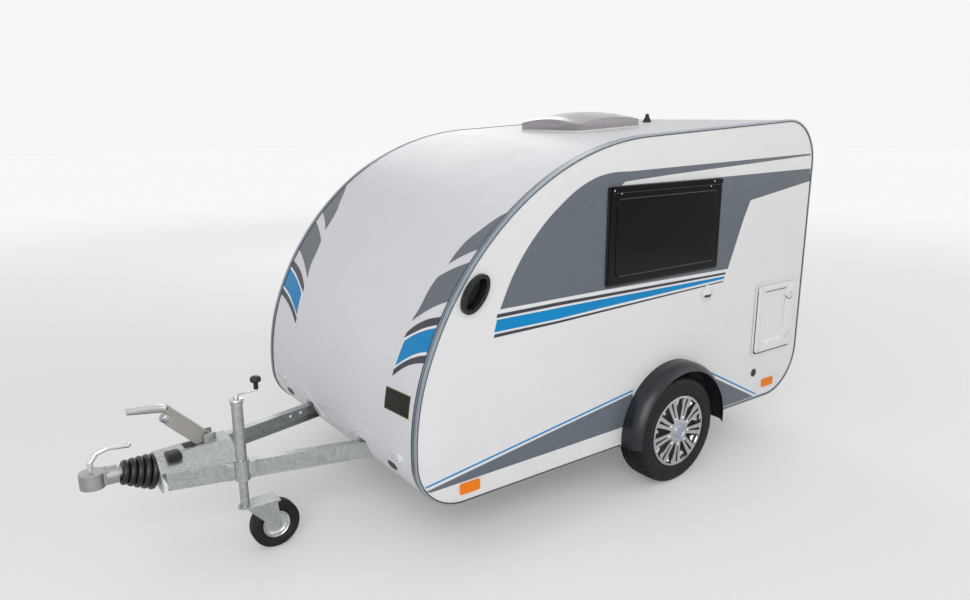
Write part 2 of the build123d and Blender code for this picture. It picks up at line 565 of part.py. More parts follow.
# the spring cylinder inside the channel, with its round end cap
for along, length, radius in ((130, 140, 19), (209, 26, 26)):
    lever += lever_plane * Pos(0, -26, along) * Cylinder(radius, length)
overrun -= block((2096, 2234), (-LEVER_ROOM, LEVER_ROOM), (446, 600))
for sign in (1, -1):
    cheek_side = sorted((sign * LEVER_ROOM, sign * (LEVER_ROOM + 6)))
    overrun += block((2098, 2152), cheek_side, (452, 526))
pin_hole = (LEVER_PIVOT[0], -LEVER_ROOM - 10, LEVER_PIVOT[2])
overrun -= rod(pin_hole, (LEVER_PIVOT[0], LEVER_ROOM + 10, LEVER_PIVOT[2]), LEVER_PIN_R + 0.05)
pin_half = LEVER_ROOM + 8
lever += Pos(*LEVER_PIVOT) * Rot(90, 0, 0) * Cylinder(LEVER_PIN_R, 2 * pin_half)

# Jockey wheel: tube clamped to the left beam, inner tube that the crank winds, swivelling fork


def on_jockey(low, high, radius):
    """A round bar on the jockey wheel's upright line."""
    return upright(JOCKEY_X, JOCKEY_Y, (low, high), radius)


jockey_tube = on_jockey(JOCKEY_TUBE_LOW, JOCKEY_TOP, JOCKEY_TUBE_R)
jockey_tube -= on_jockey(JOCKEY_TUBE_LOW - 1, JOCKEY_TOP - 8, INNER_TUBE_R + 0.1)
jockey_tube += on_jockey(JOCKEY_TOP - 22, JOCKEY_TOP, JOCKEY_TUBE_R + 3)
# the clamp is a box bracket on the beam's web with a jaw round the tube and a locking bar
CLAMP_HALF = 52
CLAMP_OUT = 42
CLAMP_Z = (358, 422)
clamp_plane = Plane(origin=(JOCKEY_X, beam_y(JOCKEY_X), 0), x_dir=(math.cos(slope), -math.sin(slope), 0),
    z_dir=(0, 0, 1))
lock_bar_x = (-CLAMP_HALF - 12, -CLAMP_HALF + 14)
clamp = clamp_plane * block((-CLAMP_HALF, CLAMP_HALF), (0, CLAMP_OUT), CLAMP_Z)
clamp += on_jockey(CLAMP_Z[0], 452, JOCKEY_TUBE_R + 8)
clamp += clamp_plane * block(lock_bar_x, (CLAMP_OUT - 6, CLAMP_OUT + 16), (382, 440))
clamp -= on_jockey(CLAMP_Z[0] - 1, 470, JOCKEY_TUBE_R)
jockey_tube += clamp
# the crank: a stub out of the tube, an arm backwards and an upright knob
CRANK_ARM = 88
CRANK_Z = 748
knob_x = JOCKEY_X - CRANK_ARM
KNOB_Z = 800
crank = on_jockey(JOCKEY_TOP, CRANK_Z + 8, 9)
crank += rod((JOCKEY_X, JOCKEY_Y, CRANK_Z + 4), (knob_x, JOCKEY_Y, CRANK_Z), 6)
crank += rod((knob_x, JOCKEY_Y, CRANK_Z - 6), (knob_x, JOCKEY_Y, KNOB_Z), 7)
crank += rod((knob_x, JOCKEY_Y, CRANK_Z + 14), (knob_x, JOCKEY_Y, KNOB_Z), 13)
crank += Pos(knob_x, JOCKEY_Y, KNOB_Z) * scale(Sphere(24), by=(1, 1, 0.72))

INNER_TUBE_TOP = 572
FORK_PIN_R = 8
inner_tube = on_jockey(JOCKEY_CROWN_Z + 10.2, INNER_TUBE_TOP, INNER_TUBE_R)
inner_tube -= on_jockey(JOCKEY_CROWN_Z, JOCKEY_CROWN_Z + 46, FORK_PIN_R + 0.05)
CHEEK_Y = (39, 44)
JOCKEY_PIN_R = 7.5
wheel_x = JOCKEY_X - JOCKEY_TRAIL
fork = on_jockey(JOCKEY_CROWN_Z, JOCKEY_CROWN_Z + 10, 30)
fork += on_jockey(JOCKEY_CROWN_Z, JOCKEY_CROWN_Z + 44, FORK_PIN_R)
fork += block((wheel_x - 20, JOCKEY_X), (JOCKEY_Y - CHEEK_Y[1], JOCKEY_Y + CHEEK_Y[1]),
    (JOCKEY_CROWN_Z, JOCKEY_CROWN_Z + 8))
crown_bar = Pos(JOCKEY_X - JOCKEY_TRAIL / 2 - 5, JOCKEY_CROWN_Z - 2) * Rectangle(JOCKEY_TRAIL, 12)
eye = Pos(wheel_x, JOCKEY_R) * Circle(16)
cheek_face = make_hull([*eye.edges(), *crown_bar.edges()])
for sign in (1, -1):
    cheek_y = sorted((JOCKEY_Y + sign * CHEEK_Y[0], JOCKEY_Y + sign * CHEEK_Y[1]))
    fork += slab(cheek_face, cheek_y[0], cheek_y[1])
fork += rod((wheel_x, JOCKEY_Y - 48, JOCKEY_R), (wheel_x, JOCKEY_Y + 48, JOCKEY_R), JOCKEY_PIN_R)
jockey_place = Pos(wheel_x, JOCKEY_Y, JOCKEY_R)
jockey_tyre = jockey_place * tyre(JOCKEY_R, 62, 62)
jockey_hub_r = JOCKEY_PIN_R + 0.1
jockey_rim = jockey_place * ring_section([(jockey_hub_r, -32), (24, -32), (24, -6), (56, -6), (56, -26),
    (62, -26), (62, 26), (56, 26), (56, 6), (24, 6), (24, 32), (jockey_hub_r, 32)])

# Corner steadies: a channel under the floor, a leg that swings down

STEADY_LEG = 390
STEADY_PIVOT_Z = 385
STEADY_PIN_R = 8
# pivot X, pivot Y, and which way the folded leg points
STEADIES = {"front_left": (880, 570, 1), "front_right": (880, -570, 1),
    "rear_left": (-475, 665, -1), "rear_right": (-475, -665, -1)}
steady_mounts = []
steady_legs = {}
for name, (pivot_x, y, way) in STEADIES.items():
    mount = block((pivot_x - 60, pivot_x + 60), (y - 34, y + 34), (FLOOR_Z - 6, FLOOR_Z))
    for cheek in (-1, 1):
        mount += block((pivot_x - 40, pivot_x + 40), (y + cheek * 24, y + cheek * 30),
            (STEADY_PIVOT_Z - 25, FLOOR_Z - 5))
    mount -= rod((pivot_x, y - 40, STEADY_PIVOT_Z), (pivot_x, y + 40, STEADY_PIVOT_Z), STEADY_PIN_R + 0.05)
    steady_mounts.append(mount)
    leg = rod((pivot_x, y - 20, STEADY_PIVOT_Z), (pivot_x, y + 20, STEADY_PIVOT_Z), 16)
    leg += rod((pivot_x, y - 32, STEADY_PIVOT_Z), (pivot_x, y + 32, STEADY_PIVOT_Z), STEADY_PIN_R)
    leg += block((pivot_x, pivot_x + way * STEADY_LEG), (y - 16, y + 16),
        (STEADY_PIVOT_Z - 12, STEADY_PIVOT_Z + 14))
    leg += block((pivot_x + way * (STEADY_LEG - 30), pivot_x + way * (STEADY_LEG + 10)), (y - 34, y + 34),
        (STEADY_PIVOT_Z - 18, STEADY_PIVOT_Z + 18))
    steady_legs[name] = leg

# Roof vent: a flanged frame through the roof with a moulded lid, and the small roof cap

ROOF_VENT_X = -80
VENT_FLANGE_T = 6
DOME_H = 84
DOME_R = 1140
rise = math.radians(ROOF_RISE)
vent_plane = Plane(origin=(ROOF_VENT_X, 0, roof_z(ROOF_VENT_X)), x_dir=(math.cos(rise), 0, -math.sin(rise)),
    z_dir=(math.sin(rise), 0, math.cos(rise)))
vent_mouth = RectangleRounded(380, 400, 25)
vent_hole = RectangleRounded(400, 420, 30)
vent_flange = extrude(RectangleRounded(480, 510, 40) - vent_mouth, VENT_FLANGE_T)
vent_neck = Pos(0, 0, -WALL - 4) * extrude(vent_hole - vent_mouth, WALL + 10)
vent_frame = vent_plane * (vent_flange + vent_neck)


def dome_solid(inset):
    """The vent's moulded lid: upright walls and a crown that is arched both ways."""
    walls = extrude(RectangleRounded(474 - 2 * inset, 504 - 2 * inset, 36), DOME_H)
    crown = Pos(0, 0, DOME_H - DOME_R) * Rot(90, 0, 0) * Sphere(DOME_R - inset)
    return Pos(0, 0, VENT_FLANGE_T) * (walls & crown)


vent_dome = vent_plane * (dome_solid(0) - Pos(0, 0, -0.5) * dome_solid(5))
front_roof_shell -= vent_plane * Pos(0, 0, -60) * extrude(vent_hole, 90)
CAP_X = -640
CAP_Z = roof_z(CAP_X)
cap_profile = Polyline((0, -20), (27, -20), (27, 5), (12, 34), (12, 40), (8, 50), (0, 50), (0, -20))
roof_cap = Pos(CAP_X, 0, CAP_Z) * revolve(Plane.XZ * make_face(cap_profile), Axis.Z)
roof_cap -= front_roof_shell

# Marker lamps and the covers of the steadies' crank holes, low on the nose

MARKER_Y, MARKER_Z = 632, 474
COVER_Y, COVER_Z = 570, 408
COVER_LEAN = 20.3
lean = math.radians(COVER_LEAN)
marker_lamps = []
access_covers = []
for sign in (1, -1):
    lamp_plane = Plane(origin=(1505, sign * MARKER_Y, MARKER_Z), x_dir=(0, 1, 0), z_dir=(1, 0, 0))
    marker_lamps.append(extrude(lamp_plane * RectangleRounded(90, 42, 20), 30) - front_roof_shell)
    cover_plane = Plane(origin=(1499, sign * COVER_Y, COVER_Z), x_dir=(0, 1, 0),
        z_dir=(math.cos(lean), 0, -math.sin(lean)))
    access_covers.append(extrude(cover_plane * RectangleRounded(70, 34, 16), 14) - front_roof_shell)

# Side reflectors, rear lamps and plate holder

REFLECTOR_W, REFLECTOR_H, REFLECTOR_T = 102, 48, 8
side_reflectors = []
for x, z in ((1258, 318), (-907, 334)):
    reflector = slab(rectangle((x - REFLECTOR_W / 2, x + REFLECTOR_W / 2),
        (z - REFLECTOR_H / 2, z + REFLECTOR_H / 2), 5), HALF_W, HALF_W + REFLECTOR_T)
    side_reflectors += [reflector, other_side(reflector)]
rear_lamp = block((REAR_X - LAMP_OUT, REAR_X), (640, 730), (560, 800))
rear_lamp = fillet(rear_lamp.edges().filter_by(Axis.X), 25)
plate_holder = fillet(block((REAR_X - 8, REAR_X), (-265, 265), (590, 705)).edges().filter_by(Axis.X), 8)

# Write every node

write("side_panel_left", side_panel_left)
write("side_panel_right", side_panel_right)
write("front_roof_shell", front_roof_shell)
write("rear_shell", rear_shell)
write("floor", floor)
write("edge_trims", trim, other_side(trim))
write("wheel_housings", housing, other_side(housing))
write("window_frames", left_frame, right_frame, rear_frame)
write("window_panes", left_pane, right_pane, rear_pane, porthole_glass, other_side(porthole_glass))
write("door_frame", door_frame)
write("entrance_door", door_leaf)
write("door_window", door_glass)
write("door_handle", door_handle)
write("hatch_frame", hatch_frame)
write("hatch_door", hatch_door)
write("porthole_rings", porthole_ring, other_side(porthole_ring))
write("side_fittings", side_vent, drain)
write("marker_lamps", *marker_lamps)
write("access_covers", *access_covers)
write("side_reflectors", *side_reflectors)
write("rear_lamps", rear_lamp, other_side(rear_lamp))
write("plate_holder", plate_holder)
write("roof_vent_frame", vent_frame)
write("roof_vent_dome", vent_dome)
write("roof_cap", roof_cap)
write("mudguard_left", mudguard)
write("mudguard_right", other_side(mudguard))
write("drawbar_left", drawbar_left)
write("drawbar_right", other_side(drawbar_left))
write("chassis_rails", rail, other_side(rail), *cross_members)
write("axle_beam", axle)
write("overrun_housing", overrun)
write("bellows", bellows)
write("coupling_head", coupling_head)
write("coupling_handle", coupling_handle)
write("handbrake_lever", lever)
write("jockey_tube", jockey_tube)
write("jockey_crank", crank)
write("jockey_inner_tube", inner_tube)
write("jockey_fork", fork)
write("jockey_tyre", jockey_tyre)
write("jockey_rim", jockey_rim)
write("steady_mounts", *steady_mounts)
for name, leg in steady_legs.items():
    write(f"steady_{name}", leg)
wheel_places = {"left": Pos(0, WHEEL_Y, WHEEL_R), "right": Pos(0, -WHEEL_Y, WHEEL_R) * Rot(0, 0, 180)}
for side, place in wheel_places.items():
    write(f"tyre_{side}", place * road_tyre)
    write(f"wheel_{side}", place * (rim + drum))
    write(f"wheel_trim_{side}", place * cover)
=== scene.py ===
# %% [markdown]
# # A small teardrop caravan
# The caravan comes in as a finished frame: every panel, window, wheel and bracket is already a solid at
# its real place and size, in metres. This lesson dresses that frame. It sets up the camera and a plain
# studio, gives every piece a finish made from nodes, and models what the solids leave out: the coloured
# film on the walls, tyre tread, the wheel trims, screws, seals and soft edges.
# Forwards is +X, the caravan's left side is +Y, and the floor is Z = 0.

# %% Load the frame
import math

import bpy
from mathutils import Matrix, Vector


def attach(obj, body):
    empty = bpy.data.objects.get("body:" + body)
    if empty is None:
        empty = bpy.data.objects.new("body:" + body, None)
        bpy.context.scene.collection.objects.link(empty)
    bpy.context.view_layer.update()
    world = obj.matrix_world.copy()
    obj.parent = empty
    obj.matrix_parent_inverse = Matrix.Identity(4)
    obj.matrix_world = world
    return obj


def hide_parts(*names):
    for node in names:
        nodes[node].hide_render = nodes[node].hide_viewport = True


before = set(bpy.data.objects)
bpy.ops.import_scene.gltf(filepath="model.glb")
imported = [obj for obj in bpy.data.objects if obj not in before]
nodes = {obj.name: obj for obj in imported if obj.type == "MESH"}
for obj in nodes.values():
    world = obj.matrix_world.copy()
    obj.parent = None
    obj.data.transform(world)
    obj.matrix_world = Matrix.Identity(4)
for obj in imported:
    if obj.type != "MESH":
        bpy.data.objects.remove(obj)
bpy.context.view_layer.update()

# %% [markdown]
# ## The camera
# A photograph fixes where its camera stood. The lens, place and angles were worked out from the near
# wheel's trim, the corners of the window and the hatch, the body's two outlines and the drawbar. The
# columns of a camera's matrix are its right, its up and the direction behind it, so the angles are
# turned into those three vectors.

# %% Place the camera
CAMERA_AT = Vector((2.2574, 3.2744, 1.8932))
CAMERA_YAW = math.radians(-126.107)
CAMERA_DOWN = math.radians(13.784)
CAMERA_ROLL = math.radians(-0.195)
CAMERA_LENS_MM = 28.21

level = math.cos(CAMERA_DOWN)
forward = Vector((math.cos(CAMERA_YAW) * level, math.sin(CAMERA_YAW) * level, -math.sin(CAMERA_DOWN)))
level_right = Vector((math.sin(CAMERA_YAW), -math.cos(CAMERA_YAW), 0))
level_up = level_right.cross(forward)
right = level_right * math.cos(CAMERA_ROLL) + level_up * math.sin(CAMERA_ROLL)
up = level_up * math.cos(CAMERA_ROLL) - level_right * math.sin(CAMERA_ROLL)
camera_data = bpy.data.cameras.new("camera")
camera_data.lens = CAMERA_LENS_MM
camera = bpy.data.objects.new("camera", camera_data)
bpy.context.scene.collection.objects.link(camera)
camera.matrix_world = Matrix.Translation(CAMERA_AT) @ Matrix((right, up, -forward)).transposed().to_4x4()
bpy.context.scene.camera = camera
bpy.context.scene.view_settings.view_transform = "Standard"
print("camera at", tuple(camera.location), "lens", camera_data.lens)

# %% [markdown]
# ## A few node helpers
# Every finish is built from the same few moves: noise read at the object's own coordinates, a ramp
# that turns it into near colours, a range that turns it into roughness, and a bump. The helpers name
# those moves once. Values that are the same all over a surface go straight on the shader's sockets.

# %% Node helpers
finishes = {}


def start_finish(name, **shader_values):
    """A new material with its constant shader values set; gives its node tree and its shader."""
    material = bpy.data.materials.new(name)
    material.use_nodes = True
    finishes[name] = material
    shader = material.node_tree.nodes["Principled BSDF"]
    for socket, value in shader_values.items():
        shader.inputs[socket.replace("_", " ")].default_value = value
    return material.node_tree, shader


def add_node(tree, kind, **values):
    """One node, with its settings and unlinked inputs given by name."""
    made = tree.nodes.new("ShaderNode" + kind)
    for key, value in values.items():
        if hasattr(made, key):
            setattr(made, key, value)
        else:
            made.inputs[key.replace("_", " ")].default_value = value
    return made


def place(tree, stretch=(1, 1, 1)):
    """The object's own coordinates, stretched."""
    coordinates = add_node(tree, "TexCoord")
    mapping = add_node(tree, "Mapping", Scale=stretch)
    tree.links.new(coordinates.outputs["Object"], mapping.inputs["Vector"])
    return mapping.outputs["Vector"]


def noise(tree, scale, detail=4.0, stretch=(1, 1, 1)):
    made = add_node(tree, "TexNoise", Scale=scale, Detail=detail)
    tree.links.new(place(tree, stretch), made.inputs["Vector"])
    return made.outputs["Fac"]


def ramp(tree, factor, *stops):
    """Colours along a factor; each stop is a place and a colour."""
    made = add_node(tree, "ValToRGB")
    while len(made.color_ramp.elements) < len(stops):
        made.color_ramp.elements.new(0.5)
    for element, (at, colour) in zip(made.color_ramp.elements, stops):
        element.position = at
        element.color = (*colour, 1)
    tree.links.new(factor, made.inputs["Fac"])
    return made.outputs["Color"]


def spread(tree, value, low, high, to_low, to_high):
    """A value's range mapped to another range and held inside it."""
    made = add_node(tree, "MapRange")
    for socket, number in zip(("From Min", "From Max", "To Min", "To Max"), (low, high, to_low, to_high)):
        made.inputs[socket].default_value = number
    tree.links.new(value, made.inputs["Value"])
    return made.outputs["Result"]


def times(tree, first, second, operation="MULTIPLY"):
    """Two values multiplied, or joined by another operation."""
    made = add_node(tree, "Math", operation=operation)
    for socket, value in zip(made.inputs, (first, second)):
        if isinstance(value, (int, float)):
            socket.default_value = value
        else:
            tree.links.new(value, socket)
    return made.outputs[0]


def blend_colour(tree, factor, under, over):
    """The over colour laid on the under colour where the factor is 1."""
    made = add_node(tree, "Mix", data_type="RGBA")
    tree.links.new(factor, made.inputs[0])
    for socket, colour in ((made.inputs[6], under), (made.inputs[7], over)):
        if isinstance(colour, tuple):
            socket.default_value = (*colour, 1)
        else:
            tree.links.new(colour, socket)
    return made.outputs[2]


def axis_of(tree, axis):
    """One coordinate of the object's own place."""
    split = add_node(tree, "SeparateXYZ")
    tree.links.new(place(tree), split.inputs[0])
    return split.outputs[axis]


def bump(tree, shader, *layers):
    """Bump layers, each a height, a strength and a distance in metres, chained into the shader."""
    normal = None
    for height, strength, distance in layers:
        made = add_node(tree, "Bump", Strength=strength, Distance=distance)
        tree.links.new(height, made.inputs["Height"])
        if normal is not None:
            tree.links.new(normal, made.inputs["Normal"])
        normal = made.outputs["Normal"]
    tree.links.new(normal, shader.inputs["Normal"])


def tint(colour, amount):
    """A colour made lighter or darker by a share."""
    return tuple(max(0.0, min(1.0, part * (1 + amount))) for part in colour)


def feed(tree, shader, colour, gloss):
    """Links a colour and a roughness into the shader."""
    tree.links.new(colour, shader.inputs["Base Color"])
    tree.links.new(gloss, shader.inputs["Roughness"])


print("node helpers ready")

# %% [markdown]
# ## The studio
# Glossy white bodywork only looks right when it has something soft and bright to reflect. Three large
# area lamps do that: a key from the upper front left, where the sun stood, and a weaker fill and back
# light. The world gives an even light. It looks paler to the camera and in reflections than it is as
# a lamp, so the background stays pale without washing out the object.

# %% Light the studio
def area_lamp(name, at, size, watts):
    """A square soft lamp that points at the caravan."""
    data = bpy.data.lights.new(name, "AREA")
    data.size = size
    data.energy = watts
    lamp = bpy.data.objects.new(name, data)
    lamp.location = at
    lamp.rotation_euler = (Vector((0, 0, 0.8)) - lamp.location).to_track_quat("-Z", "Y").to_euler()
    bpy.context.scene.collection.objects.link(lamp)
    print("lamp", name, watts, "W")


area_lamp("key", (5.2, 6.6, 4.6), 6.5, 400)
area_lamp("fill", (-5.0, 5.0, 3.5), 5.0, 60)
area_lamp("back", (-3.0, -6.0, 4.5), 4.0, 80)

LIT_LEVEL = 0.46
SEEN_LEVEL = 0.93
world = bpy.data.worlds.new("studio")
world.use_nodes = True
bpy.context.scene.world = world
sky = world.node_tree
sky.nodes["Background"].inputs["Color"].default_value = (1.0, 1.0, 1.0, 1.0)
rays = add_node(sky, "LightPath").outputs
seen = times(sky, rays["Is Camera Ray"], rays["Is Glossy Ray"], "MAXIMUM")
seen = times(sky, seen, rays["Is Transmission Ray"], "MAXIMUM")
sky.links.new(spread(sky, seen, 0.0, 1.0, LIT_LEVEL, SEEN_LEVEL), sky.nodes["Background"].inputs["Strength"])

# %% [markdown]
# ### The floor
# The floor glows a little, to the camera only, and more with distance. So no hard horizon shows.

# %% Lay the floor
bpy.ops.mesh.primitive_plane_add(size=80, location=(0, 0, 0))
floor_plane = bpy.context.active_object
floor_plane.name = "studio_floor"
tree, shader = start_finish("studio_floor_paint", Base_Color=(0.8, 0.8, 0.8, 1), Roughness=0.7,
    Emission_Color=(1, 1, 1, 1))
distance = add_node(tree, "VectorMath", operation="LENGTH")
tree.links.new(place(tree), distance.inputs[0])
rise = spread(tree, distance.outputs["Value"], 2.0, 14.0, 0.16, 0.5)
rise.node.interpolation_type = "SMOOTHSTEP"
glow = times(tree, add_node(tree, "LightPath").outputs["Is Camera Ray"], rise)
tree.links.new(glow, shader.inputs["Emission Strength"])
floor_plane.data.materials.append(finishes["studio_floor_paint"])
print("studio ready")

# %% [markdown]
# ## Plain finishes with life in them
# Most plastics, paints and rubbers differ only in colour, gloss and grain. One recipe covers them: the
# colour drifts a little over a hand's width, the gloss varies where dust has dried, and a fine bump
# gives the moulded or rolled surface. A height range lets road dust in near the floor.

# %% The common recipe
ROAD_DUST = (0.33, 0.29, 0.24)


def dusted(tree, colours, fade, grain, patches):
    """Road dust on a colour, fading with height and in patches. Gives the colour and the dust."""
    low = spread(tree, axis_of(tree, "Z"), *fade)
    film = times(tree, low, spread(tree, noise(tree, *grain), *patches))
    return blend_colour(tree, film, colours, ROAD_DUST), film


def common_finish(name, colour, rough, drift=0.06, drift_scale=5.0, grain=0.1, grain_scale=700.0,
        dust=0.0, dust_top=0.7, **shader_values):
    """A drifting colour, uneven gloss, a fine grain, and dust towards the floor."""
    tree, shader = start_finish(name, **shader_values)
    clouds = noise(tree, drift_scale, 6.0)
    colours = ramp(tree, clouds, (0.3, tint(colour, -drift)), (0.7, tint(colour, drift)))
    gloss = spread(tree, noise(tree, drift_scale * 3, 8.0), 0.3, 0.7, rough * 0.85, min(1.0, rough * 1.2))
    if dust:
        fade = (0.0, dust_top, dust, 0.0)
        colours, film = dusted(tree, colours, fade, (22.0, 9.0), (0.35, 0.65, 0.25, 1.0))
        gloss = times(tree, gloss, times(tree, film, 0.5), "ADD")
    feed(tree, shader, colours, gloss)
    bump(tree, shader, (noise(tree, grain_scale, 3.0), grain, 0.0006))


common_finish("black_plastic", (0.0095, 0.0095, 0.0135), 0.36, drift=0.25, grain=0.25, grain_scale=1100,
    dust=0.03, Specular_IOR_Level=0.42)
common_finish("black_rubber", (0.006, 0.006, 0.007), 0.3, drift=0.3, grain=0.1, grain_scale=500, dust=0.03)
common_finish("white_plastic", (0.74, 0.735, 0.72), 0.36, drift=0.02, grain=0.08, grain_scale=900)
common_finish("rim_paint", (0.045, 0.047, 0.05), 0.4, drift=0.2, dust=0.35, dust_top=0.6)
common_finish("orange_lens", (0.85, 0.205, 0.0), 0.18, drift=0.05, grain=0.1, grain_scale=400,
    Specular_IOR_Level=0.3)
common_finish("clear_lens", (0.72, 0.74, 0.75), 0.12, drift=0.04, grain=0.1, grain_scale=300)
common_finish("lamp_glass", (0.6, 0.62, 0.65), 0.07, drift=0.1, drift_scale=60, grain=0.15, grain_scale=260,
    Specular_IOR_Level=0.8)
common_finish("red_lens", (0.42, 0.012, 0.012), 0.14, drift=0.1, grain=0.1, grain_scale=300)
common_finish("film_grey", (0.128, 0.15, 0.176), 0.3, drift=0.05, drift_scale=3, grain=0.03, grain_scale=150,
    Specular_IOR_Level=0.35)
common_finish("film_dark", (0.05, 0.051, 0.066), 0.3, drift=0.06, drift_scale=3, grain=0.03, grain_scale=150,
    Specular_IOR_Level=0.3)
common_finish("film_blue", (0.0, 0.24, 0.55), 0.33, drift=0.05, drift_scale=4, grain=0.03, grain_scale=150,
    Specular_IOR_Level=0.22)
common_finish("film_black", (0.01, 0.009, 0.006), 0.3, drift=0.2, grain=0.05, grain_scale=300,
    Specular_IOR_Level=0.25)
common_finish("film_white", (0.84, 0.85, 0.86), 0.26, drift=0.01, grain=0.02, grain_scale=150)
common_finish("seal_dark", (0.012, 0.016, 0.024), 0.45, drift=0.2, grain=0.2, grain_scale=600)
common_finish("film_gold", (0.42, 0.32, 0.11), 0.32, drift=0.15, grain=0.1, grain_scale=300, Metallic=0.6)
common_finish("floor_board", (0.17, 0.14, 0.11), 0.7, drift=0.2, grain=0.4, grain_scale=120)
print("common finishes:", ", ".join(finishes))

# %% [markdown]
# ## White bodywork
# The front and roof are a moulding with a gelcoat, and the sides are sheet laminate. A white with
# nothing in it looks like plaster. This caravan is clean, so the life in it is slight: the colour moves
# by one or two hundredths, a faint veil of dust lies low on the skirt, and a very shallow ripple makes
# the reflections swim as they do on thin panels.

# %% Bodywork finishes
def bodywork(name, colour, rough, ripple):
    """Gloss white with a faint drift of colour, a thin veil of dust low down and a shallow ripple."""
    tree, shader = start_finish(name, Coat_Weight=0.06, Coat_Roughness=0.2)
    clouds = noise(tree, 2.5, 5.0)
    colours = ramp(tree, clouds, (0.3, tint(colour, -0.025)), (0.7, tint(colour, 0.015)))
    colours, film = dusted(tree, colours, (0.24, 0.6, 0.09, 0.0), (14.0, 9.0), (0.4, 0.7, 0.2, 1.0))
    gloss = spread(tree, noise(tree, 7.0, 3.0), 0.3, 0.7, rough * 0.92, rough * 1.1)
    feed(tree, shader, colours, times(tree, gloss, times(tree, film, 0.6), "ADD"))
    bump(tree, shader, (noise(tree, 3.0, 0.0), ripple, 0.004), (noise(tree, 420.0, 2.0), 0.02, 0.0003))


bodywork("body_gelcoat", (0.735, 0.735, 0.775), 0.42, 0.06)
bodywork("side_laminate", (0.775, 0.775, 0.78), 0.36, 0.06)
print("bodywork finishes made")

# %% [markdown]
# ## The edge profile
# An extruded profile covers the joint between the skin and each side wall. It is blue-grey on top. A bright
# band on its outer rib is a painted highlight, and a dark band at its lip, along the skin, is painted shade.
# The bands lie at fixed distances from the caravan's middle, so a ramp with hard steps reads the colour from
# how far out a point lies.

# %% The edge profile's finish
LIP_SHADE_WIDTH = 0.0065


def edge_profile_finish(name, lip_to, crown_from, rib_from, outside):
    """Bands across the profile, by distance from the middle plane in metres."""
    tree, shader = start_finish(name, Metallic=0.4)
    out = add_node(tree, "Math", operation="ABSOLUTE")
    tree.links.new(axis_of(tree, "Y"), out.inputs[0])
    inside = lip_to - 0.002
    along = spread(tree, out.outputs[0], inside, outside, 0.0, 1.0)
    width = outside - inside
    # The first dark band, at the lip along the skin, is painted shade; the last bright band, on the rib, is a
    # painted highlight.
    bands = ramp(tree, along, (0.0, (0.006, 0.014, 0.034)), (LIP_SHADE_WIDTH / width, (0.2, 0.255, 0.32)),
        ((crown_from - inside) / width, (0.045, 0.075, 0.115)),
        ((rib_from - inside) / width, (0.34, 0.385, 0.43)))
    bands.node.color_ramp.interpolation = "CONSTANT"
    wear = spread(tree, noise(tree, 9.0, 7.0), 0.45, 0.75, 0.0, 0.08)
    colours = blend_colour(tree, wear, bands, (0.3, 0.34, 0.38))
    drawn = noise(tree, 60.0, 4.0, stretch=(0.05, 6.0, 0.05))
    feed(tree, shader, colours, spread(tree, drawn, 0.3, 0.7, 0.22, 0.36))
    bump(tree, shader, (drawn, 0.06, 0.0004))


edge_profile_finish("edge_trim", lip_to=0.764, crown_from=0.7785, rib_from=0.7835, outside=0.7972)
print("edge profile finish made")

# %% [markdown]
# ## Metals
# Hot-dip galvanising freezes into flat crystals, the spangle, each with its own grey and its own
# shine. A Voronoi texture gives one random value per cell, which sets both. Bright pins and grips are
# plain polished steel with fine scratches, and the coupling head is a dull zinc casting.

# %% Metal finishes
def galvanised_finish(name, cell_scale, dull):
    """Spangled zinc: a random grey and shine per crystal, with white bloom and dust."""
    tree, shader = start_finish(name, Metallic=0.88)
    cells = add_node(tree, "TexVoronoi", Scale=cell_scale)
    tree.links.new(place(tree, (1, 1, 0.7)), cells.inputs["Vector"])
    grey = add_node(tree, "SeparateColor")
    tree.links.new(cells.outputs["Color"], grey.inputs[0])
    crystal = grey.outputs[0]
    colours = ramp(tree, crystal, (0.0, (0.4, 0.425, 0.43)), (0.5, (0.45, 0.475, 0.48)),
        (1.0, (0.52, 0.55, 0.56)))
    bloom = spread(tree, noise(tree, 14.0, 8.0), 0.5, 0.75, 0.0, 0.35)
    colours = blend_colour(tree, bloom, colours, (0.5, 0.52, 0.51))
    colours, film = dusted(tree, colours, (0.1, 0.6, 0.12, 0.0), (30.0, 8.0), (0.4, 0.65, 0.0, 1.0))
    shine = spread(tree, crystal, 0.0, 1.0, dull, dull + 0.1)
    feed(tree, shader, colours, times(tree, shine, times(tree, bloom, 0.5), "ADD"))
    bump(tree, shader, (crystal, 0.02, 0.0004), (noise(tree, 160.0, 4.0), 0.1, 0.0005))


def polished_finish(name, colour, rough, scratch_scale=240.0):
    """Bright metal with a slow change of tone and fine scratches."""
    tree, shader = start_finish(name, Metallic=1.0)
    clouds = ramp(tree, noise(tree, 12.0, 6.0), (0.3, tint(colour, -0.12)), (0.7, tint(colour, 0.05)))
    scratches = noise(tree, scratch_scale, 3.0, stretch=(0.15, 1.0, 1.0))
    feed(tree, shader, clouds, spread(tree, scratches, 0.3, 0.7, rough * 0.7, rough * 1.5))
    bump(tree, shader, (scratches, 0.08, 0.0003))


galvanised_finish("galvanised", 130.0, 0.27)
polished_finish("bright_metal", (0.8, 0.81, 0.83), 0.14)
polished_finish("coupling_metal", (0.42, 0.43, 0.44), 0.38, 90.0)
polished_finish("trim_silver", (0.6, 0.61, 0.64), 0.26, 60.0)
polished_finish("lever_steel", (0.46, 0.44, 0.41), 0.36, 60.0)
polished_finish("cap_blue", (0.5, 0.57, 0.7), 0.22, 60.0)
polished_finish("crank_steel", (0.62, 0.64, 0.62), 0.22)
polished_finish("edge_silver", (0.58, 0.62, 0.66), 0.3, 60.0)
print("metal finishes made")

# %% [markdown]
# ## Glass, dome and tyre rubber
# The side windows are double acrylic panes tinted so dark that from outside they look black, with
# the sky on them. The roof dome is lighter, a milky smoke with a slightly purple cast. Tyre rubber is
# never pure black: it carries dust, most of all in the tread and low on the sidewall.

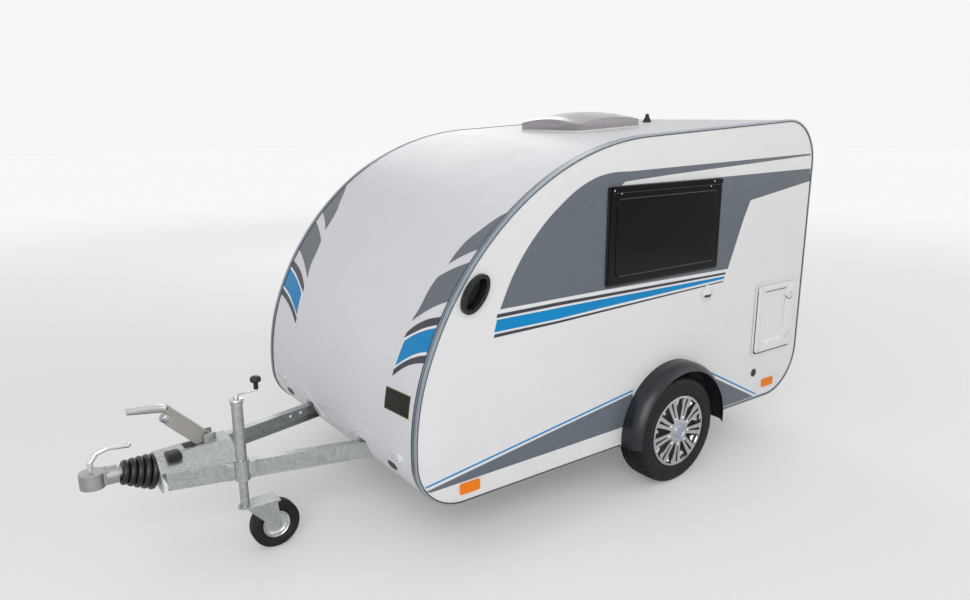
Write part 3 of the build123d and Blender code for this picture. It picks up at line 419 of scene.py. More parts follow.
# %% Glass and rubber finishes
def clear_finish(name, colour, rough, through, **shader_values):
    """Tinted acrylic that lets a share of the light through, with a slow wave in its surface."""
    tree, shader = start_finish(name, IOR=1.49, Transmission_Weight=through, **shader_values)
    clouds = ramp(tree, noise(tree, 4.0, 4.0), (0.3, tint(colour, -0.08)), (0.7, tint(colour, 0.08)))
    feed(tree, shader, clouds, spread(tree, noise(tree, 18.0, 8.0), 0.35, 0.75, rough, rough * 2.2))
    bump(tree, shader, (noise(tree, 2.2, 1.0), 0.12, 0.003))


clear_finish("dark_glass", (0.004, 0.004, 0.005), 0.03, 0.05, Specular_IOR_Level=0.2)
clear_finish("smoke_dome", (0.7, 0.67, 0.7), 0.12, 0.75)
common_finish("tyre_rubber", (0.008, 0.008, 0.009), 0.52, drift=0.25, drift_scale=9, grain=0.2,
    grain_scale=420, dust=0.03, dust_top=0.3, Specular_IOR_Level=0.26)
common_finish("guard_plastic", (0.013, 0.014, 0.021), 0.3, drift=0.15, grain=0.12, grain_scale=900, dust=0.02,
    dust_top=0.4)
# Painted highlight: a light grey for the fine lines where the pane's bulge catches the light.
common_finish("painted_pane_highlight", (0.085, 0.088, 0.095), 0.25)
print("all finishes:", len(finishes))

# %% [markdown]
# ## Dressing the frame's own nodes
# Each node of the frame keeps its shape and takes one finish. The table lists them by finish, so a
# missing node shows at once in the count that is printed.

# %% Assign finishes to the nodes
NODE_FINISHES = {
    "body_gelcoat": ("front_roof_shell", "rear_shell"),
    "side_laminate": ("side_panel_left", "side_panel_right", "entrance_door", "hatch_door"),
    "edge_trim": ("edge_trims",),
    "floor_board": ("floor",),
    "black_plastic": ("wheel_housings", "window_frames", "porthole_rings", "door_handle", "plate_holder",
        "roof_cap", "jockey_crank", "access_covers"),
    "guard_plastic": ("mudguard_left", "mudguard_right"),
    "dark_glass": ("window_panes", "door_window"),
    "white_plastic": ("hatch_frame", "side_fittings", "roof_vent_frame", "door_frame"),
    "clear_lens": ("marker_lamps",),
    "orange_lens": ("side_reflectors",),
    "red_lens": ("rear_lamps",),
    "smoke_dome": ("roof_vent_dome",),
    "galvanised": ("drawbar_left", "drawbar_right", "chassis_rails", "axle_beam", "overrun_housing",
        "jockey_tube", "jockey_inner_tube", "jockey_fork", "steady_mounts",
        "steady_front_left", "steady_front_right", "steady_rear_left", "steady_rear_right"),
    "lever_steel": ("handbrake_lever",),
    "black_rubber": ("bellows",),
    "coupling_metal": ("coupling_head",),
    "bright_metal": ("coupling_handle", "jockey_rim"),
    "tyre_rubber": ("tyre_left", "tyre_right", "jockey_tyre"),
    "rim_paint": ("wheel_left", "wheel_right"),
    "trim_silver": ("wheel_trim_left", "wheel_trim_right"),
}
dressed = 0
for finish_name, names in NODE_FINISHES.items():
    for name in names:
        node_object = nodes[name]
        node_object.data.materials.clear()
        node_object.data.materials.append(finishes[finish_name])
        dressed += 1
print("nodes dressed:", dressed, "of", len(nodes))

# %% [markdown]
# ## Modelling helpers
# New pieces are made with the same operators as by hand. Three habits keep that safe in a script:
# deselect everything before adding a primitive, pick faces by where they lie, and apply the place of
# a finished piece, so that its object ends at the origin with its place in its mesh.

# %% Modelling helpers
AXLE_X = -0.7225
HALF_W = 0.794
WHEEL_Z = 0.285
SIDES = ((1, "left"), (-1, "right"))


def leave_edit():
    bpy.ops.object.mode_set(mode="OBJECT")


def deselect():
    if bpy.context.mode != "OBJECT":
        leave_edit()
    bpy.ops.object.select_all(action="DESELECT")


def only(piece):
    """Selects one piece and makes it active."""
    deselect()
    piece.select_set(True)
    bpy.context.view_layer.objects.active = piece


def edit(piece, select="SELECT"):
    """Edit mode on one piece, with everything or nothing in it selected."""
    only(piece)
    bpy.ops.object.mode_set(mode="EDIT")
    bpy.ops.mesh.select_all(action=select)


def apply_place(piece):
    """Puts the piece's place, turn and scale into its mesh."""
    only(piece)
    bpy.ops.object.transform_apply(location=True, rotation=True, scale=True)
    return piece


def tidy_mesh(piece, distance=0.00002):
    """Merges doubles and turns every face outwards."""
    edit(piece)
    bpy.ops.mesh.remove_doubles(threshold=distance)
    bpy.ops.mesh.normals_make_consistent(inside=False)
    leave_edit()
    return piece


def turn_mesh(piece, angle, middle):
    """Turns a whole mesh about a line along Y."""
    edit(piece)
    bpy.ops.transform.rotate(value=angle, orient_axis="Y", center_override=middle)
    leave_edit()


def move_selected(by):
    """Moves the selected part of the active mesh."""
    bpy.ops.object.mode_set(mode="EDIT")
    bpy.ops.transform.translate(value=by)
    leave_edit()


def thicken(piece, by):
    """Extrudes a flat mesh into a solid."""
    edit(piece)
    bpy.ops.mesh.extrude_region_move(TRANSFORM_OT_translate={"value": by})
    leave_edit()
    return tidy_mesh(piece)


def apply_modifier(piece, kind, **settings):
    """Adds a modifier and applies it at once."""
    only(piece)
    modifier = piece.modifiers.new(kind.lower(), kind)
    for key, value in settings.items():
        setattr(modifier, key, value)
    bpy.ops.object.modifier_apply(modifier=modifier.name)


def soften(piece, width, segments, degrees):
    """Rounds every edge that is sharper than an angle."""
    apply_modifier(piece, "BEVEL", width=width, segments=segments, limit_method="ANGLE",
        angle_limit=math.radians(degrees))


def pick_faces(piece, keep):
    """In object mode, selects the faces for which keep(centre, normal) is true."""
    only(piece)
    for part in (*piece.data.vertices, *piece.data.edges):
        part.select = False
    count = 0
    for face in piece.data.polygons:
        face.select = bool(keep(face.center, face.normal))
        count += face.select
    return count


def finished(piece, name, body, finish, angle=35):
    """Applies the piece's place, names it, gives it its finish, smooths it, and hands it to its body."""
    apply_place(piece)
    piece.name = name
    piece.data.name = name
    piece.data.materials.clear()
    piece.data.materials.append(finishes[finish])
    if angle:
        bpy.ops.object.shade_smooth_by_angle(angle=math.radians(angle))
    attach(piece, body)
    print(name, "faces", len(piece.data.polygons), "on", body)


def copy_of(piece, move=(0, 0, 0), mirror_y=False):
    """A copy with its own mesh, moved or mirrored, with its place applied."""
    only(piece)
    bpy.ops.object.duplicate()
    twin = bpy.context.active_object
    if mirror_y:
        bpy.ops.transform.mirror(constraint_axis=(False, True, False), center_override=(0, 0, 0))
    twin.location = twin.location + Vector(move)
    apply_place(twin)
    return tidy_mesh(twin) if mirror_y else twin


def finished_pair(piece, name, body, finish, angle=35):
    """A piece on the left and its mirror image on the right."""
    twin = copy_of(piece, mirror_y=True)
    for made, side_name in ((piece, "left"), (twin, "right")):
        finished(made, f"{name}_{side_name}", body, finish, angle=angle)


def join(pieces):
    deselect()
    for piece in pieces:
        piece.select_set(True)
    bpy.context.view_layer.objects.active = pieces[0]
    bpy.ops.object.join()
    return bpy.context.active_object


print("modelling helpers ready")

# %% [markdown]
# ## Coloured film
# The stripes and the grey field round the window are cut from self-adhesive film. A cut outline is a
# job for a curve: corners are sharp points, the long front edge is a few smooth points, and a filled
# 2D curve becomes a mesh, which is laid on the wall. Beads and turned sections start as curves too.

# %% Curve and film helpers
FILM = 0.0005


def new_curve(kind, count, cyclic=False, **settings):
    """A curve with one line of points that still have to be placed."""
    drawing = bpy.data.curves.new("drawing", "CURVE")
    for key, value in settings.items():
        setattr(drawing, key, value)
    line = drawing.splines.new(kind)
    line.use_cyclic_u = cyclic
    knots = line.bezier_points if kind == "BEZIER" else line.points
    knots.add(count - 1)
    return drawing, knots


def as_mesh(drawing):
    """A curve put in the scene and turned into a mesh."""
    piece = bpy.data.objects.new(drawing.name, drawing)
    bpy.context.scene.collection.objects.link(piece)
    only(piece)
    bpy.ops.object.convert(target="MESH")
    return bpy.context.active_object


def film_outline(points):
    """A flat mesh from points; a third value of 1 makes a point smooth."""
    drawing, knots = new_curve("BEZIER", len(points), True, dimensions="2D", fill_mode="BOTH", resolution_u=8)
    for knot, point in zip(knots, points):
        knot.co = (point[0], point[1], 0)
        knot.handle_left_type = knot.handle_right_type = "AUTO" if len(point) > 2 else "VECTOR"
    return tidy_mesh(as_mesh(drawing))


def upright_prism(points, at, depth):
    """A flat drawing stood up to face sideways at a place, and extruded along Y."""
    piece = film_outline(points)
    piece.rotation_euler = (math.radians(90), 0, 0)
    piece.location = at
    apply_place(piece)
    return thicken(piece, (0, depth, 0))


def side_film(points, side=1, lift=0.0):
    """Film on a side wall. Points are X from the wheel axis, and Z."""
    return upright_prism(points, (AXLE_X, side * (HALF_W + lift), 0), side * FILM)


def tube_from(points, radius, cyclic=False, sides=3):
    """A round bead along a line of points, as a mesh."""
    drawing, knots = new_curve("POLY", len(points), cyclic, dimensions="3D", bevel_depth=radius,
        bevel_resolution=sides, use_fill_caps=True)
    for knot, point in zip(knots, points):
        knot.co = (*point, 1)
    return tidy_mesh(as_mesh(drawing), 0.00001)


def arch_cutter(radius):
    """A round bar through both sides at the mudguard's middle, to cut film at the arch."""
    deselect()
    bpy.ops.mesh.primitive_cylinder_add(vertices=128, radius=radius, depth=2.0,
        location=(GUARD_X, 0, WHEEL_Z), rotation=(math.radians(90), 0, 0))
    return bpy.context.active_object


def box_cutter(low, high, round_by=0.0):
    """A box between two corners, with its edges along Y rounded."""
    deselect()
    bpy.ops.mesh.primitive_cube_add(size=1, location=[(a + b) / 2 for a, b in zip(low, high)])
    cutter = bpy.context.active_object
    cutter.scale = [b - a for a, b in zip(low, high)]
    apply_place(cutter)
    if round_by:
        edit(cutter, "DESELECT")
        bpy.ops.mesh.select_mode(type="EDGE")
        leave_edit()
        for edge in cutter.data.edges:
            a, b = (cutter.data.vertices[number].co for number in edge.vertices)
            edge.select = abs(a.x - b.x) < 1e-5 and abs(a.z - b.z) < 1e-5
        bpy.ops.object.mode_set(mode="EDIT")
        bpy.ops.mesh.bevel(offset=round_by, segments=8)
        bpy.ops.mesh.select_mode(type="VERT")
        leave_edit()
    return cutter


def cut_with(piece, cutter, keep_inside=False, remove=True):
    """Cuts a piece with another solid."""
    operation = "INTERSECT" if keep_inside else "DIFFERENCE"
    apply_modifier(piece, "BOOLEAN", object=cutter, operation=operation, solver="EXACT")
    if remove:
        bpy.data.objects.remove(cutter, do_unlink=True)


print("curve and film helpers ready")

# %% [markdown]
# ### Film on the side walls
# The grey field follows the body's curve up and over the window and narrows to a band with a white
# line through it. Under it run a dark line, a blue stripe and a second dark line, all tapering
# backwards. A grey wedge with a blue line lies on the skirt on each side of the wheel. The right side
# has the same film mirrored. Its window sits further back, so the bands are drawn further back too,
# and what lies on the door's leaf is cut out as a piece of its own that swings with the door.

# %% Draw the side film
WINDOW_Z = (1.096, 1.566)
LEFT_WINDOW_X = (-0.345, 0.476)
RIGHT_WINDOW_X = (-0.64, 0.181)
RIGHT_REAR_SHIFT = -0.295
SIDE_FILM = {
    "grey_field": ("film_grey", (
        (1.092, 1.087), (1.018, 1.233, 1), (0.909, 1.375, 1), (0.758, 1.506, 1), (0.61, 1.592, 1),
        (0.479, 1.627, 1), (0.318, 1.631), (-1.143, 1.664), (-1.145, 1.654), (-0.577, 1.629), (0.058, 1.602),
        (0.364, 1.585), (0.39, 1.569), (-0.176, 1.569), (-1.158, 1.579), (-1.166, 1.507), (-0.609, 1.433),
        (-0.561, 1.338), (-0.453, 1.074), (0.504, 1.086))),
    "upper_line": ("film_dark", (
        (1.106, 1.068), (1.111, 1.052), (0.76, 1.054), (-0.434, 1.046), (-0.439, 1.057), (0.76, 1.07))),
    "blue_stripe": ("film_blue", (
        (1.108, 1.044), (1.123, 0.991), (0.759, 0.992), (0.502, 1.001), (-0.425, 1.023), (-0.43, 1.036),
        (0.502, 1.043))),
    "lower_line": ("film_dark", (
        (1.121, 0.982), (1.126, 0.967), (0.757, 0.972), (-0.42, 1.006), (-0.423, 1.012), (0.757, 0.983))),
    "skirt_line": ("film_blue", (
        (1.48, 0.383), (0.738, 0.478), (0.25, 0.539), (0.25, 0.53), (0.738, 0.469), (1.48, 0.375))),
    "skirt_wedge": ("film_grey", (
        (1.478, 0.361), (0.738, 0.458), (0.25, 0.519), (0.25, 0.353), (0.741, 0.351), (1.455, 0.35))),
    "rear_skirt_line": ("film_blue", ((-0.3, 0.54), (-0.813, 0.278), (-0.8, 0.275), (-0.3, 0.53))),
    "rear_skirt_wedge": ("film_grey", ((-0.3, 0.515), (-0.782, 0.269), (-0.775, 0.266), (-0.3, 0.266))),
}
ARCH_FILM_R = 0.35
GUARD_X = AXLE_X - 0.035
DOOR_X = (0.43, 1.02)
DOOR_Z = (0.452, 1.482)
DOOR_PROUD = 0.004
DOOR_SURROUND = 0.028
DOOR_WINDOW_X = (0.501, 0.929)
DOOR_WINDOW_Z = (0.996, 1.394)
UNDER_FRAME = 0.006
CUT_REACH = 0.05


def window_hole(window_x, side):
    """A cutter for the film, a little inside the window frame's own edge."""
    near, far = sorted((side * (HALF_W - CUT_REACH), side * (HALF_W + CUT_REACH)))
    low = (AXLE_X + window_x[0] + UNDER_FRAME, near, WINDOW_Z[0] + UNDER_FRAME)
    high = (AXLE_X + window_x[1] - UNDER_FRAME, far, WINDOW_Z[1] - UNDER_FRAME)
    return box_cutter(low, high, 0.01)


def door_cutter(grow):
    """The door's outline as a solid: small corners, and a wide one at its upper front."""
    rear, front = DOOR_X[0] - grow, DOOR_X[1] + grow
    foot, head = DOOR_Z[0] - grow, DOOR_Z[1] + grow
    points = []
    for x, z, corner, start in ((rear, foot, 0.04, 180), (front, foot, 0.04, 270), (front, head, 0.25, 0),
            (rear, head, 0.04, 90)):
        radius = corner + grow
        middle_x = x + (radius if x == rear else -radius)
        middle_z = z + (radius if z == foot else -radius)
        for step in range(9):
            turn = math.radians(start + step * 90 / 8)
            points.append((middle_x + radius * math.cos(turn), middle_z + radius * math.sin(turn)))
    return upright_prism(points, (AXLE_X, -HALF_W + CUT_REACH, 0), -2 * CUT_REACH)


def on_right(points):
    """The points of one film, with its rear end drawn back behind the right window."""
    moved = []
    for x, z, *smooth in points:
        shift = RIGHT_REAR_SHIFT if -0.62 < x < -0.35 and z > 0.9 else 0
        moved.append((x + shift, z, *smooth))
    return moved


arch = arch_cutter(ARCH_FILM_R)
for film_name, (film_finish, film_points) in SIDE_FILM.items():
    left = side_film(film_points)
    right = side_film(on_right(film_points), side=-1)
    if "skirt" in film_name:
        cut_with(left, arch, remove=False)
        cut_with(right, arch, remove=False)
    else:
        leaf = side_film(on_right(film_points), side=-1, lift=DOOR_PROUD)
        cut_with(leaf, door_cutter(-0.003), keep_inside=True)
        glass_low = (AXLE_X + DOOR_WINDOW_X[0], -HALF_W - CUT_REACH, DOOR_WINDOW_Z[0])
        glass_high = (AXLE_X + DOOR_WINDOW_X[1], -HALF_W + CUT_REACH, DOOR_WINDOW_Z[1])
        cut_with(leaf, box_cutter(glass_low, glass_high, 0.05))
        finished(leaf, film_name + "_door", "door", film_finish, angle=0)
        cut_with(right, door_cutter(DOOR_SURROUND))
    if film_name == "grey_field":
        cut_with(left, window_hole(LEFT_WINDOW_X, 1))
    if film_name in ("grey_field", "upper_line"):
        cut_with(right, window_hole(RIGHT_WINDOW_X, -1))
    finished(left, film_name + "_left", "caravan", film_finish, angle=0)
    finished(right, film_name + "_right", "caravan", film_finish, angle=0)
bpy.data.objects.remove(arch, do_unlink=True)

# %% [markdown]
# ### Film on the nose
# The bands go on round the corner of the body. The nose is curved, so each piece is drawn flat in
# front of it, cut into rows a finger wide, and pressed backwards on to the shell with Shrinkwrap. The
# right side is the same, mirrored and a third wider.

# %% Draw the nose film
IN_FRONT = AXLE_X + 1.75
PROFILE_EDGE_Y = 0.7635
ROW = 0.012
RIGHT_WIDER = 1.3


def press_on_nose(piece, lift, **settings):
    """Moves every point straight back on to the nose."""
    apply_modifier(piece, "SHRINKWRAP", target=nodes["front_roof_shell"], wrap_method="PROJECT",
        use_project_x=True, use_positive_direction=False, use_negative_direction=True, offset=lift,
        **settings)


def nose_film(points, side=1, widen=1.0, lift=0.0003):
    """Film pressed on to the nose. Points are Y and Z as on the left side."""
    placed = []
    for y, z, *smooth in points:
        placed.append((side * (PROFILE_EDGE_Y - (PROFILE_EDGE_Y - y) * widen), z, *smooth))
    piece = film_outline(placed)
    piece.rotation_euler = (math.radians(90), 0, math.radians(90))
    piece.location = (IN_FRONT, 0, 0)
    apply_place(piece)
    heights = [point[1] for point in points]
    edit(piece)
    for row in range(1, int((max(heights) - min(heights)) / ROW) + 1):
        bpy.ops.mesh.select_all(action="SELECT")
        bpy.ops.mesh.bisect(plane_co=(0, 0, min(heights) + row * ROW), plane_no=(0, 0, 1))
    leave_edit()
    press_on_nose(piece, lift, wrap_mode="ABOVE_SURFACE")
    return thicken(piece, (FILM, 0, 0))


NOSE_FILM = {
    "high_feather": ("film_grey", (
        (0.632, 1.276), (0.638, 1.335, 1), (0.655, 1.378, 1), (0.682, 1.411, 1), (0.727, 1.466, 1),
        (0.7635, 1.494), (0.7635, 1.352), (0.702, 1.322, 1), (0.66, 1.296, 1))),
    "low_feather": ("film_grey", (
        (0.573, 1.039), (0.592, 1.098, 1), (0.597, 1.169, 1), (0.61, 1.221), (0.641, 1.242, 1),
        (0.699, 1.274, 1), (0.7635, 1.302), (0.7635, 1.152), (0.712, 1.13, 1), (0.65, 1.095, 1))),
    "nose_upper_line": ("film_dark", (
        (0.564, 0.967), (0.571, 0.993), (0.612, 1.028, 1), (0.677, 1.065, 1), (0.7635, 1.093),
        (0.7635, 1.062), (0.677, 1.03, 1), (0.612, 0.995, 1))),
    "nose_blue": ("film_blue", (
        (0.559, 0.849), (0.574, 0.958), (0.62, 0.989, 1), (0.69, 1.024, 1), (0.7635, 1.05),
        (0.7635, 0.956), (0.7, 0.936, 1), (0.625, 0.896, 1))),
    "nose_lower_line": ("film_dark", (
        (0.556, 0.806), (0.554, 0.834), (0.62, 0.882, 1), (0.69, 0.918, 1), (0.7635, 0.944),
        (0.7635, 0.912), (0.7, 0.894, 1), (0.625, 0.858, 1))),
    "nose_white_edge": ("film_white", (
        (0.549, 0.834), (0.566, 0.966), (0.612, 1.0, 1), (0.69, 1.037, 1), (0.7635, 1.064),
        (0.7635, 0.943), (0.7, 0.924, 1), (0.62, 0.884, 1))),
}
UNDER_LIFT = 0.0001
OVER_LIFT = 0.0005
for film_name, (film_finish, film_points) in NOSE_FILM.items():
    lift = UNDER_LIFT if film_name == "nose_white_edge" else OVER_LIFT
    for side, side_name in SIDES:
        piece = nose_film(film_points, side, 1.0 if side > 0 else RIGHT_WIDER, lift)
        finished(piece, f"{film_name}_{side_name}", "caravan", film_finish, angle=0)

# %% [markdown]
# ### The small plate, the crease and the beads
# A thin black sign panel with a gold edge is stuck low on the left of the nose. It stays blank here.
# Below it a faint raised line crosses the nose where the mould for the skirt began. A low brow and a
# short flare run over each hole through which a drawbar beam leaves the body. These lines are curves
# pressed on to the nose first and given their thickness after, so that they stay round.

# %% Plate, crease and beads
PLATE = ((0.525, 0.659), (0.523, 0.756), (0.725, 0.767), (0.73, 0.67))
PLATE_EDGE = 0.0035
middle_y, middle_z = (sum(corner[axis] for corner in PLATE) / 4 for axis in (0, 1))
inside_plate = []
for y, z in PLATE:
    inwards = math.copysign(PLATE_EDGE, middle_y - y), math.copysign(PLATE_EDGE, middle_z - z)
    inside_plate.append((y + inwards[0], z + inwards[1]))
for points, name, lift, finish in ((PLATE, "plate_edge", 0.0003, "film_gold"),
        (inside_plate, "plate_face", 0.001, "film_black")):
    finished(nose_film(points, lift=lift), name, "caravan", finish, angle=0)


def nose_bead(points, radius, sunk, side=1):
    """A round bead that lies on the nose along points given by Y and Z, sunk a little into it."""
    drawing, knots = new_curve("BEZIER", len(points), dimensions="3D", resolution_u=6)
    for knot, (y, z) in zip(knots, points):
        knot.co = (IN_FRONT, side * y, z)
        knot.handle_left_type = knot.handle_right_type = "AUTO"
    press_on_nose(as_mesh(drawing), 0.0)
    bpy.ops.object.convert(target="CURVE")
    line = bpy.context.active_object.data
    line.bevel_depth = radius
    line.bevel_resolution = 3
    line.use_fill_caps = True
    bpy.ops.object.convert(target="MESH")
    piece = bpy.context.active_object
    piece.location = (-sunk, 0, 0)
    return tidy_mesh(apply_place(piece), 0.00001)


CREASE = (
    (-0.237, 0.439), (-0.195, 0.451), (-0.152, 0.463), (-0.055, 0.487), (0.022, 0.4985), (0.082, 0.506),
    (0.153, 0.516), (0.251, 0.537), (0.352, 0.557), (0.445, 0.575), (0.53, 0.594), (0.601, 0.611),
    (0.64, 0.62))
finished(nose_bead(CREASE, 0.0055, 0.0034), "nose_crease", "caravan", "body_gelcoat", angle=60)

BROW = (
    (0.131, 0.389), (0.16, 0.415), (0.193, 0.434), (0.235, 0.453), (0.276, 0.47), (0.32, 0.486),
    (0.355, 0.493), (0.375, 0.493), (0.386, 0.49))
FLARE = ((0.238, 0.456), (0.21, 0.468), (0.188, 0.482), (0.17, 0.498))
for side, side_name in SIDES:
    for line, name, radius, sunk in ((BROW, "beam_brow", 0.0052, 0.0008),
            (FLARE, "beam_flare", 0.004, 0.0028)):
        bead = nose_bead(line, radius, sunk, side)
        finished(bead, f"{name}_{side_name}", "caravan", "body_gelcoat", angle=60)

# %% [markdown]
# ### Marker lenses
# Each marker lamp gets a clear lens. It is a ball made flat by its scale and cut off at the back.

# %% Model the marker lenses
LAMP_MIDDLE = (0.8085, 0.632, 0.474)
LENS_HALF_SIZE = (0.0095, 0.0455, 0.0205)
LENS_BACK = 0.002
deselect()
bpy.ops.mesh.primitive_uv_sphere_add(segments=48, ring_count=24, radius=1.0, location=LAMP_MIDDLE)
lens = bpy.context.active_object
lens.scale = LENS_HALF_SIZE
apply_place(lens)
edit(lens)
bpy.ops.mesh.bisect(plane_co=(LAMP_MIDDLE[0] - LENS_BACK, 0, 0), plane_no=(1, 0, 0), clear_inner=True,
    use_fill=True)
leave_edit()
finished_pair(lens, "marker_lens", "caravan", "lamp_glass", angle=50)

# %% [markdown]
# ### Seals along the edge profile
# A dark rubber lip closes the gap between the profile and the side wall, and a bright rib runs outside
# it. Both follow the body's outline, which is worked out here from the same arcs as the body: four from
# the skirt to the roof, the rising roof, and the two rear corners.

# %% Draw the seals
FRONT_ARCS = ((0.236, 87.1), (1.05, 23.4), (1.377, 52.9), (1.5, 13.6))
ROOF_RISE = math.radians(3.0)
REAR_X = AXLE_X - 1.175
REAR_TOP_R = 0.25
REAR_LOW_R = 0.27
SKIRT_Z = 0.251
SKIRT_MIDDLE_X = AXLE_X + 1.288
MUDGUARD_REACH = 0.36


def arc_points(start, heading, radius, turn, steps):
    """Points along an arc that starts at a heading and turns left, and where and how it ends."""
    middle = (start[0] - radius * math.sin(heading), start[1] + radius * math.cos(heading))
    points = []
    for step in range(1, steps + 1):
        angle = heading + turn * step / steps
        points.append((middle[0] + radius * math.sin(angle), middle[1] - radius * math.cos(angle)))
    return points, heading + turn


def body_line(inset, open_from, open_to):
    """The body's outline drawn in by an inset, from one place on the skirt round to another."""
    points = [(open_from, SKIRT_Z + inset), (SKIRT_MIDDLE_X, SKIRT_Z + inset)]
    heading = 0.0
    for radius, turn in FRONT_ARCS:
        steps = max(6, int(turn / 2.5))
        arc, heading = arc_points(points[-1], heading, radius - inset, math.radians(turn), steps)
        points += arc
    roof_end_x = REAR_X + inset + (REAR_TOP_R - inset) * (1 + math.sin(ROOF_RISE))
    start = points[-1]
    points.append((roof_end_x, start[1] + (start[0] - roof_end_x) * math.tan(ROOF_RISE)))
    turn = math.pi / 2 + ROOF_RISE
    arc, heading = arc_points(points[-1], math.pi - ROOF_RISE, REAR_TOP_R - inset, turn, 24)
    points += [*arc, (REAR_X + inset, SKIRT_Z + REAR_LOW_R)]
    arc, heading = arc_points(points[-1], heading, REAR_LOW_R - inset, math.pi / 2, 20)
    return [*points, *arc, (open_to, SKIRT_Z + inset)]


for side, side_name in SIDES:
    for name, inset, proud, radius, slot, finish in (
            ("profile_seal", 0.0074, 0.0012, 0.0028, "black_plastic", "seal_dark"),
            ("profile_rib", -0.0005, 0.001, 0.002, "edge_trim", "edge_silver")):
        line = body_line(inset, GUARD_X + MUDGUARD_REACH, GUARD_X - MUDGUARD_REACH)
        bead = tube_from([(x, side * (HALF_W + proud), z) for x, z in line], radius)
        finished(bead, f"{name}_{side_name}", "caravan", finish, angle=60)

# %% [markdown]
# ### Mudguard liners
# Behind each mudguard a flat black flange closes the ring between the guard and the wheel arch. It is a
# thin ring, cut off level with the guard's ends.

# %% Model the liners
LINER_OUTER_R = 0.352
LINER_INNER_R = 0.3302
LINER_DEPTH = 0.033
ring_points = []
for radius, steps in ((LINER_OUTER_R, range(73)), (LINER_INNER_R, range(72, -1, -1))):
    for step in steps:
        turn = math.radians(-6 + step * 192 / 72)
        ring_points.append((radius * math.cos(turn) + GUARD_X - AXLE_X, WHEEL_Z + radius * math.sin(turn)))
for side, side_name in SIDES:
    liner = side_film(ring_points, side, lift=0.001)
    pick_faces(liner, lambda centre, normal: normal.y * side < -0.9)
    move_selected((0, -side * LINER_DEPTH, 0))
    finished(liner, f"guard_liner_{side_name}", "caravan", "black_plastic", angle=0)

# %% [markdown]
# ## Wheels
# A wheel trim and a tyre are turned shapes, so each starts as half a section that is spun round the
# wheel's axis. Each point of the section says how far it lies from the axis, and how far out from the
# wheel's middle plane.

# %% Spinning a section
WHEEL_OUT = 0.8115


def spun(points, middle, steps, cyclic=False):
    """A section of (radius, out) points turned a whole round about an axis along Y, at its place."""
    drawing, knots = new_curve("POLY", len(points), cyclic, dimensions="3D")
    for knot, (radius, out) in zip(knots, points):
        knot.co = (0, out, radius, 1)
    piece = as_mesh(drawing)
    edit(piece)
    bpy.ops.mesh.spin(steps=steps, angle=math.tau, center=(0, 0, 0), axis=(0, 1, 0))
    leave_edit()
    piece.location = middle
    return tidy_mesh(apply_place(piece))


def spun_upright(points, middle, steps):
    """A section of (radius, height) points turned about an upright line."""
    piece = spun(points, (0, 0, 0), steps)
    piece.rotation_euler = (math.radians(90), 0, 0)
    piece.location = middle
    return apply_place(piece)


def both_halves(half):
    """A section from one half, given by (radius, out) points, and its mirror image."""
    return [*half, *((radius, -out) for radius, out in reversed(half))]


def turned_copies(piece, count, middle):
    """Copies of a piece all round an axis along Y, joined into one."""
    pieces = [piece]
    for number in range(1, count):
        twin = copy_of(piece)
        turn_mesh(twin, math.tau * number / count, middle)
        pieces.append(twin)
    return join(pieces)


print("spinning helpers ready")

# %% [markdown]
# ### Wheel trims
# The trim is a shallow dish with nine pairs of spokes. It is spun solid, nine wide and nine narrow
# openings are cut through it, and a bevel rounds the edges. A bright ramp fills the outer end of each
# wide opening, a nut bump sits at the foot of each pair, and the middle carries a bare domed cap.

# %% Model the trims
TRIM_SECTION = (
    (0.0, 0.0893), (0.018, 0.0891), (0.032, 0.0884), (0.0375, 0.0868), (0.0385, 0.0838), (0.0415, 0.0838),
    (0.043, 0.0862), (0.0475, 0.0872), (0.053, 0.0866), (0.062, 0.085), (0.08, 0.0835), (0.11, 0.0812),
    (0.14, 0.0802), (0.165, 0.0806), (0.178, 0.0828), (0.184, 0.0838), (0.1878, 0.082), (0.189, 0.0785),
    (0.1875, 0.0735), (0.172, 0.072), (0.13, 0.0715), (0.095, 0.073), (0.06, 0.077), (0.0, 0.079))
PAIRS = 9
# distances from the axis, with the half width of the opening there
WIDE_CUT = (
    (0.064, 0.003), (0.072, 0.0075), (0.09, 0.0125), (0.12, 0.0195), (0.15, 0.0262), (0.168, 0.03),
    (0.1755, 0.029), (0.1775, 0.025))
NARROW_CUT = (
    (0.08, 0.0016), (0.086, 0.003), (0.11, 0.0042), (0.145, 0.006), (0.168, 0.0072), (0.1735, 0.0055))
CUTTER_OUT = 0.1
CUTTER_DEPTH = 0.06
RAMP = ((-0.024, 0.1775), (0.024, 0.1775), (0.003, 0.137), (-0.003, 0.137))
RAMP_OUT = 0.0775
RAMP_FOOT_R = 0.15
RAMP_LEAN = 0.014
NUT_R = 0.0068
NUT_AT = (0.0842, 0.0735)


def radial_cutter(outline, turn):
    """A prism through the trim from half widths along a radius, turned about the wheel's axis."""
    points = [(width, radius) for radius, width in outline]
    points += [(-width, radius) for radius, width in reversed(outline)]
    cutter = upright_prism(points, (0, WHEEL_OUT + CUTTER_OUT, 0), -CUTTER_DEPTH)
    turn_mesh(cutter, turn, (0, 0, 0))
    cutter.location = (AXLE_X, 0, WHEEL_Z)
    return apply_place(cutter)


wheel_middle = (AXLE_X, WHEEL_OUT, WHEEL_Z)
trim = spun(TRIM_SECTION, wheel_middle, 144)
for outline, turn in ((WIDE_CUT, 0.0), (NARROW_CUT, math.pi / PAIRS)):
    cut_with(trim, turned_copies(radial_cutter(outline, turn), PAIRS, wheel_middle))
soften(trim, 0.002, 3, 50)

